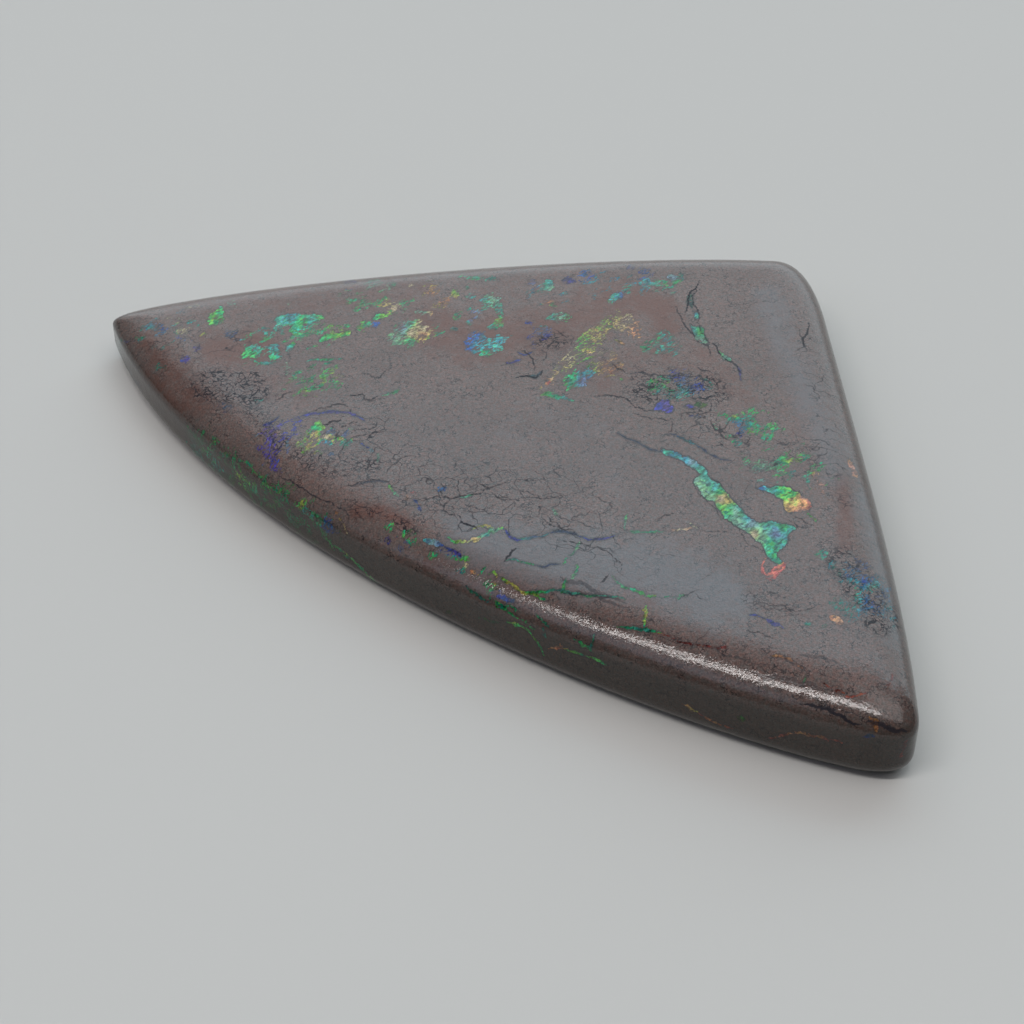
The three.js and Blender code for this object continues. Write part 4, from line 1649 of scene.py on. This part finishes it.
    def ironstone(self, group: bpy.types.NodeTree, place: Socket, light: Colour, dark: Colour) -> SocketPair:
        """Places the group that mottles ironstone.

        Args:
            group: The group.
            place: The place on the stone.
            light: The ironstone's light tone.
            dark: Its dark tone.

        Returns:
            The colour and the relief.
        """
        node = self.node("ShaderNodeGroup", node_tree=group)
        for name, given in (("Place", place), ("Light", light), ("Dark", dark)):
            self.feed(node.inputs[name], given)
        return node.outputs["Colour"], node.outputs["Relief"]

    def bump(self, height: Socket, strength: float, depth: float) -> Socket:
        """Turns a height into a normal.

        Args:
            height: The height.
            strength: How strongly it shows, from 0 to 1.
            depth: The relief's depth for a height of 1, in millimetres.

        Returns:
            The normal.
        """
        node = self.node("ShaderNodeBump")
        node.inputs["Strength"].default_value = strength
        node.inputs["Distance"].default_value = depth * MM
        self.feed(node.inputs["Height"], height)
        return node.outputs["Normal"]


def new_material(name: str) -> tuple[bpy.types.Material, Graph, bpy.types.Node]:
    """Makes a material.

    Args:
        name: The material's name.

    Returns:
        The material, its graph and its Principled shader.
    """
    material = bpy.data.materials.new(name)
    material.use_nodes = True
    return material, Graph(material.node_tree), material.node_tree.nodes["Principled BSDF"]


def ironstone_group() -> bpy.types.NodeTree:
    """Makes the group that mottles ironstone, for the polished faces and the ground base alike.

    Returns:
        The group, with the inputs Place, Light and Dark, and the outputs Colour and Relief.
    """
    tree = bpy.data.node_groups.new("ironstone", "ShaderNodeTree")
    tree.interface.new_socket("Place", in_out="INPUT", socket_type="NodeSocketVector")
    tree.interface.new_socket("Light", in_out="INPUT", socket_type="NodeSocketColor")
    tree.interface.new_socket("Dark", in_out="INPUT", socket_type="NodeSocketColor")
    tree.interface.new_socket("Colour", in_out="OUTPUT", socket_type="NodeSocketColor")
    tree.interface.new_socket("Relief", in_out="OUTPUT", socket_type="NodeSocketFloat")
    graph = Graph(tree)
    given = graph.node("NodeGroupInput").outputs
    place = given["Place"]
    clouds = graph.noise(place, 0.22, 4.0, 0.6).outputs["Fac"]
    mottle = graph.noise(place, 1.3, 3.0, 0.6).outputs["Fac"]
    grain = graph.noise(place, 7.0, 2.0, 0.6).outputs["Fac"]
    tone = graph.plus(graph.times(clouds, 0.55), graph.times(mottle, 0.45))
    colour = graph.blend(graph.ramp_up(tone, 0.36, 0.64), given["Dark"], given["Light"])
    dust = graph.noise(place, 13.0, 1.0).outputs["Fac"]
    shade = graph.times(graph.spread(grain, 0.35, 1.65), graph.spread(dust, 0.4, 1.6))
    colour = graph.blend(1.0, colour, graph.joined(shade), "MULTIPLY")
    warmth = graph.blend(graph.noise(place, 5.0, 2.0).outputs["Fac"], (1.35, 0.9, 0.8), (0.65, 1.1, 1.2))
    colour = graph.blend(1.0, colour, warmth, "MULTIPLY")
    pits = graph.strands(place, 2.2, 0.012)
    pits = graph.times(pits, graph.ramp_up(mottle, 0.42, 0.62))
    colour = graph.blend(graph.times(pits, 0.85), colour, (0.02, 0.017, 0.02))
    leaving = graph.node("NodeGroupOutput")
    graph.feed(leaving.inputs["Colour"], colour)
    graph.feed(leaving.inputs["Relief"], graph.plus(grain, graph.times(mottle, 2.0)))
    return tree


class PolishedStone:
    """The material of the polished faces."""

    def __init__(self, finish: PolishedFinish, ironstone: bpy.types.NodeTree) -> None:
        """Takes the finish and the group that mottles the ironstone."""
        self.finish = finish
        self.ironstone = ironstone

    def build(self) -> bpy.types.Material:
        """Makes the material.

        Returns:
            The material.
        """
        finish = self.finish
        material, graph, shader = new_material("polished_boulder_opal")
        place = graph.millimetres()
        body, relief = self._body(graph, place)
        body, hairlines = self._crackle(graph, place, body)
        body, opal = self._opal(graph, place, body)
        cracks_and_reflections = self._cracks_and_reflections(graph, place)
        # The crack lines and the painted dark reflection streaks on the front shoulder take the near-black
        # colour.
        graph.feed(shader.inputs["Base Color"], graph.blend(cracks_and_reflections, body, finish.crack))
        stray = graph.noise(place, 2.0, 3.0).outputs["Fac"]
        rough = graph.plus(graph.spread(stray, -finish.gloss_range, finish.gloss_range), finish.roughness)
        rough = graph.math("MULTIPLY_ADD", opal, finish.opal_roughness, rough)
        rough = graph.math("MULTIPLY_ADD", cracks_and_reflections, finish.crack_roughness, rough)
        graph.feed(shader.inputs["Roughness"], rough)
        opened = graph.math("MAXIMUM", cracks_and_reflections, hairlines)
        shine = graph.spread(opened, finish.specular, finish.open_specular)
        graph.feed(shader.inputs["Specular IOR Level"], shine)
        shader.inputs["IOR"].default_value = finish.ior
        height = graph.math("MULTIPLY_ADD", cracks_and_reflections, finish.crack_height, relief)
        graph.feed(shader.inputs["Normal"], graph.bump(height, finish.bump_strength, finish.bump_depth))
        return material

    def _cracks_and_reflections(self, graph: Graph, place: Socket) -> Socket:
        """The share of open crack and of painted dark reflection streak at each place, from the lines laid
        one by one.
        """
        uneven = graph.noise(place, 5.0, 2.0).outputs["Fac"]
        depth = graph.plus(graph.layer("crack_and_reflection_depth"), graph.spread(uneven, -0.11, 0.07))
        edge = self.finish.crack_edge
        return graph.times(graph.ramp_up(depth, -edge, edge), graph.layer("crack_and_reflection_dark"))

    def _body(self, graph: Graph, place: Socket) -> SocketPair:
        """Lays the ironstone with its rusty, dark and grey-blue zones, the grey-blue ones partly painted
        sheen, and paints shade on the shoulder and the wall.

        Args:
            graph: The material's graph.
            place: The place on the stone.

        Returns:
            The colour and the relief.
        """
        finish = self.finish
        colour, relief = graph.ironstone(self.ironstone, place, finish.umber, finish.umber_dark)
        ragged = graph.noise(place, 1.1, 5.0, 0.68).outputs["Fac"]
        # Rust, and the grey-blue zones that paint part of the top's reflected sheen.
        stains_and_sheen = (
            (Tint.RUST, finish.rust, finish.rust_most),
            (Tint.ASH, finish.ash, finish.ash_and_sheen_most),
        )
        for tint, tone, most in stains_and_sheen:
            share = graph.plus(graph.layer(tint.value), graph.spread(ragged, -0.85, 0.7))
            share = graph.times(graph.ramp_up(share, 0.1, 1.0), most)
            colour = graph.blend(share, colour, tone)
        # Painted shade: the shoulder and the wall are darkened, down to the base roll.
        darker = graph.blend(1.0, colour, finish.wall_shade, "MULTIPLY")
        colour = graph.blend(graph.layer("wall_shade"), colour, darker)
        dark = graph.times(graph.layer(Tint.DARK.value), graph.ramp_up(ragged, 0.3, 0.7))
        return graph.blend(dark, colour, finish.crack), relief

    def _crackle(self, graph: Graph, place: Socket, colour: Socket) -> SocketPair:
        """Draws the fine crackle and the wider web of hairlines, in their zones.

        Args:
            graph: The material's graph.
            place: The place on the stone.
            colour: The colour so far.

        Returns:
            The colour with the crackle on it, and the share of open crack in it.
        """
        finish = self.finish
        opened = 0.0
        smooth = graph.stirred(place, 0.7, 1.4)
        rough = graph.stirred(graph.stirred(place, 0.8, 1.2), 3.5, 0.35)
        broken = graph.noise(place, 1.6, 3.0, 0.7).outputs["Fac"]
        patchy = graph.noise(place, 0.5, 3.0, 0.6).outputs["Fac"]
        nets = (
            (Tint.CRACKLE, 3.0, 0.026, rough),
            (Tint.WEB, 0.72, 0.016, smooth),
        )
        for tint, scale, width, stirred in nets:
            zone = graph.layer(tint.value)
            combed = graph.combed(stirred, finish.hairline_angle, finish.hairline_stretch)
            edge = graph.cells(combed, scale, "DISTANCE_TO_EDGE").outputs["Distance"]
            thin = graph.times(graph.spread(broken, -1.5, 3.1), width * scale)
            line = graph.math("SUBTRACT", 1.0, graph.ramp_up(graph.math("SUBTRACT", edge, thin), -0.02, 0.02))
            shown = graph.ramp_up(graph.plus(zone, patchy), 0.62, 0.95)
            shown = graph.times(shown, graph.ramp_up(zone, 0.0, 0.25))
            share = graph.times(graph.times(line, shown), finish.hairline_dark)
            colour = graph.blend(share, colour, finish.crack)
            opened = graph.math("MAXIMUM", share, opened)
        return colour, opened

    def _opal(self, graph: Graph, place: Socket, colour: Socket) -> SocketPair:
        """Lays the opal seams and scattered flecks over the ironstone.

        Args:
            graph: The material's graph.
            place: The place on the stone.
            colour: The ironstone's colour.

        Returns:
            The colour and the share of opal in it.
        """
        lace = graph.layer("opal_lace")
        stirred = graph.stirred(place, 2.5, 0.25)
        combed = graph.combed(stirred, self.finish.strand_angle, self.finish.strand_stretch)
        solid = graph.math("SUBTRACT", 1.0, lace)
        solid = graph.times(solid, solid)
        width = graph.math("MULTIPLY_ADD", solid, 0.2, 0.022)
        strand = graph.strands(combed, 3.4, width)
        fine = graph.noise(place, 8.0, 2.0).outputs["Fac"]
        ragged = graph.noise(combed, 2.2, 4.0, 0.7).outputs["Fac"]
        fray = graph.plus(graph.spread(ragged, -1.0, 1.0), graph.spread(fine, -0.3, 0.3))
        shift = graph.times(fray, graph.spread(lace, 0.1, 0.75))
        depth = graph.plus(graph.layer("opal_depth"), shift)
        patchy = graph.math("MULTIPLY_ADD", lace, -0.6, graph.noise(place, 0.8, 3.0, 0.6).outputs["Fac"])
        island = graph.ramp_up(patchy, -0.12, -0.04)
        rim = graph.times(graph.ramp_up(depth, -0.1, -0.03), graph.layer("opal_rim"))
        rim = graph.times(rim, graph.times(island, graph.spread(solid, 0.2, 0.85)))
        colour = graph.blend(rim, colour, self.finish.crack)
        halo = graph.math("MULTIPLY_ADD", solid, 0.5, 0.06)
        shape = graph.times(graph.math("MAXIMUM", strand, halo), island)
        seam = graph.times(graph.ramp_up(depth, -0.01, 0.05), shape)
        flecks = graph.layer(Tint.FLECKS.value)
        scatter = graph.math("MULTIPLY_ADD", flecks, 0.3, graph.noise(combed, 1.1, 3.0, 0.65).outputs["Fac"])
        scatter = graph.times(graph.ramp_up(scatter, 0.62, 0.72), graph.ramp_up(flecks, 0.0, 0.2))
        scatter = graph.times(scatter, graph.strands(combed, 4.2, 0.045))
        mask = graph.math("MAXIMUM", seam, scatter)
        cell = graph.node("ShaderNodeSeparateColor")
        graph.feed(cell.inputs[0], graph.cells(graph.stirred(place, 2.0, 0.5), 3.2).outputs["Color"])
        jitter = graph.spread(cell.outputs[0], -self.finish.hue_jitter, self.finish.hue_jitter)
        hue = graph.plus(graph.layer("opal_hue"), jitter)
        flash = graph.blend(graph.layer("opal_milk"), self._flash(graph, hue), self.finish.milk)
        sparkle = graph.noise(combed, 5.5, 2.0, 0.6).outputs["Fac"]
        sparkle = graph.math("MAXIMUM", graph.spread(sparkle, -0.8, 2.5), 0.2)
        glow = graph.times(graph.spread(cell.outputs[1], 0.6, 1.4), sparkle)
        # Painted shade: scattered flecks are dimmer down the shoulder and the wall.
        spark = graph.times(scatter, graph.spread(graph.layer("wall_shade"), 0.65, 0.22))
        lit = graph.math("MAXIMUM", graph.layer("opal_glow"), spark)
        flash = graph.blend(1.0, flash, graph.joined(graph.times(glow, lit)), "MULTIPLY")
        return graph.blend(mask, colour, flash), mask

    def _flash(self, graph: Graph, hue: Socket) -> Socket:
        """Turns a place in the spectrum into the opal's colour."""
        ramp = graph.node("ShaderNodeValToRGB")
        stops = ramp.color_ramp.elements
        while len(stops) < len(self.finish.spectrum):
            stops.new(0.5)
        for stop, (position, tone) in zip(stops, self.finish.spectrum):
            stop.position = position
            stop.color = (*tone, 1.0)
        graph.feed(ramp.inputs["Fac"], hue)
        return ramp.outputs["Color"]


class GroundStone:
    """The material of the flat underside."""

    def __init__(self, finish: GroundFinish, ironstone: bpy.types.NodeTree) -> None:
        """Takes the finish and the group that mottles the ironstone."""
        self.finish = finish
        self.ironstone = ironstone

    def build(self) -> bpy.types.Material:
        """Makes the material.

        Returns:
            The material.
        """
        finish = self.finish
        material, graph, shader = new_material("ground_ironstone")
        colour, relief = graph.ironstone(self.ironstone, graph.millimetres(), finish.tone, finish.tone_dark)
        graph.feed(shader.inputs["Base Color"], colour)
        rough = graph.math("MULTIPLY_ADD", relief, finish.relief_roughness, finish.roughness)
        graph.feed(shader.inputs["Roughness"], rough)
        shader.inputs["IOR"].default_value = finish.ior
        graph.feed(shader.inputs["Normal"], graph.bump(relief, finish.bump_strength, finish.bump_depth))
        return material


@dataclass
class BoulderOpal:
    """The stone, built as one skin round its whole form.

    Attributes:
        form: The stone's shape.
        view: The viewpoint whose pixels the markings are given in.
        plain_spacing: The distance between points where there is no marking, in millimetres.
        fine_share: How many times closer the points are round a marking.
        edge_spacing: The distance between points along the sheet's edge, in millimetres.
        base_spacing: The distance between points of the flat base, in millimetres.
        edge_gap: How far the other points stay from the sheet's edge, in millimetres.
        fine_margin: How far past a marking its fine points reach, in millimetres as seen.
        fine_stretch: How many times longer that can be on the skin, which is seen at a slant.
        clearance: How far grid points stay from a marking's own, as a share of their spacing.
        merge_share: How near two points may be before one is dropped, as a share of the spacing.
    """

    form: StoneForm
    view: PhotoView
    plain_spacing: float = 0.36
    fine_share: int = 3
    edge_spacing: float = 0.3
    base_spacing: float = 1.2
    edge_gap: float = 0.12
    fine_margin: float = 0.2
    fine_stretch: float = 1.5
    clearance: float = 0.45
    merge_share: float = 0.35

    def build(self) -> bpy.types.Object:
        """Makes the stone's mesh, layers and materials.

        Returns:
            The stone.
        """
        skin = StoneSkin(self.form)
        markings = Markings(self.view)
        ring, sheet = self._sheet_points(skin, markings)
        points, faces, base_faces = self._surface(skin, ring, sheet)
        mesh = bpy.data.meshes.new("boulder_opal_stone")
        mesh.from_pydata((points * MM).tolist(), [], faces + base_faces)
        mesh.shade_smooth()
        mesh.update()
        normals = np.empty(len(points) * 3)
        mesh.vertex_normals.foreach_get("vector", normals)
        towards = self.view.position() - points
        facing = (normals.reshape(-1, 3) * towards).sum(axis=1) > 0
        layers = markings.layers(points, facing)
        layers["wall_shade"] = skin.wall_shade(points)
        for name, values in layers.items():
            layer = mesh.attributes.new(name, "FLOAT", "POINT")
            layer.data.foreach_set("value", values.astype(np.float32))
        ironstone = ironstone_group()
        mesh.materials.append(PolishedStone(PolishedFinish(), ironstone).build())
        mesh.materials.append(GroundStone(GroundFinish(), ironstone).build())
        slots = np.zeros(len(mesh.polygons), dtype=np.int32)
        slots[len(faces):] = 1
        mesh.polygons.foreach_set("material_index", slots)
        stone = bpy.data.objects.new("boulder_opal_stone", mesh)
        bpy.context.scene.collection.objects.link(stone)
        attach(stone, "root")
        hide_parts("boulder_opal")
        LOG.info("stone: %d vertices, %d triangles", len(points), len(faces) + len(base_faces))
        return stone

    def _sheet_points(self, skin: StoneSkin, markings: Markings) -> tuple[np.ndarray, np.ndarray]:
        """Chooses the sheet's points: plain ones far apart, and fine ones round each marking.

        Args:
            skin: The stone's skin.
            markings: The markings that need fine points.

        Returns:
            The ring along the sheet's edge, and the points inside it.
        """
        ring = skin.edge(self.edge_spacing)
        spacing = self.plain_spacing / self.fine_share
        low, high = ring.min(axis=0), ring.max(axis=0)
        rows = int((high[1] - low[1]) / (spacing * HEX_ROW)) + 1
        columns = int((high[0] - low[0]) / spacing) + rows // 2 + 1
        j, i = np.meshgrid(np.arange(rows), np.arange(-rows // 2, columns), indexing="ij")
        i, j = i.ravel(), j.ravel()
        grid = low + np.stack([(i + j / 2) * spacing, j * spacing * HEX_ROW], axis=1)
        within = skin.run(grid) < skin.reach - self.edge_gap
        grid, i, j = grid[within], i[within], j[within]
        keep = (i % self.fine_share == 0) & (j % self.fine_share == 0)
        blocked = np.zeros(len(grid), dtype=bool)
        lines = []
        finder = PixelFinder(skin, self.view)
        for trace in markings.patches + markings.seams + markings.cracks_and_reflections:
            line = finder.sheet(trace.path)
            if len(line) < 2:
                continue
            lines.append(line)
            reach = (getattr(trace.mark, "width", 0.0) / 2 + self.fine_margin) * self.fine_stretch
            chosen = near(grid, line, reach)
            distance = Trace(trace.mark, line).distance(grid[chosen])
            keep[chosen[distance < reach]] = True
            blocked[chosen[np.abs(distance) < spacing * self.clearance]] = True
        inner = np.concatenate([grid[keep & ~blocked], *lines])
        cells = np.round(inner / (spacing * self.merge_share)).astype(int)
        _, first = np.unique(cells, axis=0, return_index=True)
        return ring, inner[np.sort(first)]

    def _surface(self, skin: StoneSkin, ring: np.ndarray, sheet: np.ndarray) -> tuple[np.ndarray, list, list]:
        """Triangulates the sheet, puts it on the stone and closes the flat base.

        Args:
            skin: The stone's skin.
            ring: The ring along the sheet's edge.
            sheet: The points inside it.

        Returns:
            The points in millimetres, the faces of the skin and those of the base.
        """
        count = len(ring)
        flat = np.concatenate([ring, sheet])
        faces = triangulated(flat, count)
        points = skin.place(flat)
        base_ring = points[:count, :2]
        grid = square_grid(base_ring, self.base_spacing)
        _, distance, bearing = skin.polar(grid)
        limit = skin.radius(bearing) * (1 - self.form.base_roll_in / self.form.inscribed_radius)
        grid = grid[distance < limit - self.base_spacing / 2]
        base = triangulated(np.concatenate([base_ring, grid]), count)
        shift = len(points) - count
        base = [tuple(k if k < count else k + shift for k in reversed(face)) for face in base]
        points = np.concatenate([points, np.column_stack([grid, np.zeros(len(grid))])])
        return points, faces, base


class PixelFinder:
    """Finds the place on the skin's sheet that shows at a pixel of the photograph's frame."""

    SPACING = 0.5

    def __init__(self, skin: StoneSkin, view: PhotoView) -> None:
        """Lays a plain net over the sheet and flattens what the viewpoint sees of it.

        Args:
            skin: The stone's skin.
            view: The viewpoint.
        """
        ring = skin.edge(self.SPACING)
        grid = square_grid(ring, self.SPACING)
        grid = grid[skin.run(grid) < skin.reach - self.SPACING / 2]
        self.sheet_points = np.concatenate([ring, grid])
        self.pixel_points = view.pixels(skin.place(self.sheet_points))
        self.faces = [face for face in triangulated(self.sheet_points, len(ring)) if self._seen(face)]
        flat = np.column_stack([self.pixel_points, np.zeros(len(self.pixel_points))])
        self.tree = BVHTree.FromPolygons(flat.tolist(), self.faces)

    def _seen(self, face: tuple[int, int, int]) -> bool:
        """True if the face turns towards the viewpoint; pixels count downwards."""
        a, b, c = self.pixel_points[list(face)]
        return float(np.cross(b - a, c - a)) < 0

    def sheet(self, pixels: np.ndarray) -> np.ndarray:
        """Finds places on the sheet.

        Args:
            pixels: An array of pixel coordinates.

        Returns:
            An array of places on the sheet, without those for pixels that miss the stone.
        """
        found = []
        for x, y in pixels.tolist():
            _, _, index, _ = self.tree.ray_cast(Vector((x, y, 1.0)), Vector((0.0, 0.0, -1.0)))
            if index is None:
                continue
            corners = list(self.faces[index])
            a, b, c = self.pixel_points[corners]
            shares = np.linalg.solve(np.array([b - a, c - a]).T, np.array([x, y]) - a)
            corner, second, third = self.sheet_points[corners]
            found.append(corner + shares[0] * (second - corner) + shares[1] * (third - corner))
        return np.array(found)


def square_grid(ring: np.ndarray, spacing: float) -> np.ndarray:
    """Lays a square grid over a ring's bounding box.

    Args:
        ring: An array of the ring's points.
        spacing: The distance between the grid's points.

    Returns:
        An array of the grid's points.
    """
    low, high = ring.min(axis=0), ring.max(axis=0)
    across = np.arange(low[0], high[0], spacing)
    deep = np.arange(low[1], high[1], spacing)
    return np.stack(np.meshgrid(across, deep), axis=-1).reshape(-1, 2)


def triangulated(points: np.ndarray, ring: int) -> list[tuple[int, ...]]:
    """Joins points into triangles inside a ring.

    Args:
        points: The points in plan, the ring's first.
        ring: How many points the ring has, in anticlockwise order.

    Returns:
        The triangles, each anticlockwise.
    """
    vectors = [Vector(point) for point in points.tolist()]
    result = geometry.delaunay_2d_cdt(vectors, [], [list(range(ring))], 1, 1e-7)
    source = [given[0] for given in result[3]]
    return [tuple(source[k] for k in face) for face in result[2]]


@dataclass(frozen=True)
class SoftLight:
    """A soft studio light: a flat panel that shines from one face.

    Attributes:
        name: The light's name.
        place: Where its middle is from the stone, in metres.
        facing: The direction in which it shines.
        size: Its width and height, in metres.
        radiance: How bright its face is, in each colour.
    """

    name: str
    place: tuple[float, float, float]
    facing: tuple[float, float, float]
    size: tuple[float, float]
    radiance: Colour

    def build(self, target: Vector) -> bpy.types.Object:
        """Makes the light.

        Args:
            target: The stone's place, in metres.

        Returns:
            The light object.
        """
        data = bpy.data.lights.new(self.name, "AREA")
        data.shape = "RECTANGLE"
        data.size, data.size_y = self.size
        brightest = max(self.radiance)
        data.color = [part / brightest for part in self.radiance]
        data.energy = brightest * math.pi * self.size[0] * self.size[1]
        light = bpy.data.objects.new(self.name, data)
        light.location = target + Vector(self.place)
        light.rotation_euler = (-Vector(self.facing)).to_track_quat("Z", "Y").to_euler()
        bpy.context.scene.collection.objects.link(light)
        return light


@dataclass(frozen=True)
class Studio:
    """The plain pale floor, the even surroundings and the soft lights."""

    floor_size: float = 8.0
    floor_tone: Colour = (0.565, 0.57, 0.555)
    floor_roughness: float = 0.9
    floor_specular: float = 0.1
    surroundings: Colour = (0.08, 0.078, 0.078)
    lights: tuple[SoftLight, ...] = (
        SoftLight("lower window", (0.37, 1.05, 0.47), (-0.12, -0.99, 0.0), (1.9, 0.94), (1.05, 1.22, 1.3)),
        SoftLight("upper window", (0.37, 1.05, 1.2), (-0.12, -0.99, 0.0), (1.9, 0.52), (1.3, 1.7, 1.9)),
        SoftLight("curtain", (-0.74, 1.11, 0.75), (0.3, -0.95, 0.0), (0.36, 1.4), (0.68, 0.74, 0.78)),
        SoftLight("cornice", (0.2, 0.92, 1.46), (0.0, 0.0, -1.0), (2.2, 0.26), (1.1, 1.28, 1.4)),
        SoftLight("ceiling", (0.1, 0.56, 1.46), (0.0, 0.0, -1.0), (2.4, 0.46), (0.42, 0.42, 0.44)),
        SoftLight("left screen", (-0.91, 0.42, 0.95), (0.91, -0.42, 0.0), (2.0, 1.7), (0.28, 0.26, 0.26)),
        SoftLight("front screen", (-0.8, -0.6, 0.88), (0.8, 0.6, 0.0), (0.8, 0.6), (0.82, 0.84, 1.0)),
        SoftLight("ceiling tube", (-0.32, -0.3, 1.0), (0.0, 0.0, -1.0), (0.86, 0.08), (22.5, 21.4, 21.0)),
        SoftLight("side box", (0.46, -0.2, 1.0), (0.0, 0.0, -1.0), (0.75, 0.8), (1.52, 1.5, 1.5)),
    )

    def build(self, target: Vector) -> None:
        """Makes the floor, the surroundings and the lights.

        Args:
            target: The point that the lights face, in metres.
        """
        half = self.floor_size / 2
        mesh = bpy.data.meshes.new("floor")
        corners = [(-half, -half, 0), (half, -half, 0), (half, half, 0), (-half, half, 0)]
        mesh.from_pydata(corners, [], [(0, 1, 2, 3)])
        floor = bpy.data.objects.new("floor", mesh)
        material, _, shader = new_material("pale_floor")
        shader.inputs["Base Color"].default_value = (*self.floor_tone, 1.0)
        shader.inputs["Roughness"].default_value = self.floor_roughness
        shader.inputs["Specular IOR Level"].default_value = self.floor_specular
        mesh.materials.append(material)
        bpy.context.scene.collection.objects.link(floor)
        world = bpy.data.worlds.new("surroundings")
        world.use_nodes = True
        world.node_tree.nodes["Background"].inputs["Color"].default_value = (*self.surroundings, 1.0)
        bpy.context.scene.world = world
        for light in self.lights:
            light.build(target)
        bpy.context.scene.view_settings.view_transform = "Standard"


def main() -> None:
    """Builds the camera, the stone and the studio in order."""
    logging.basicConfig(level=logging.INFO, format="%(name)s: %(message)s")
    view = PhotoView()
    view.build()
    LOG.info("camera at %s mm", np.round(view.position(), 1).tolist())
    BoulderOpal(StoneForm(), view).build()
    Studio().build(Vector(view.target) * MM)
    LOG.info("studio built")


if __name__ == "__main__":
    main()
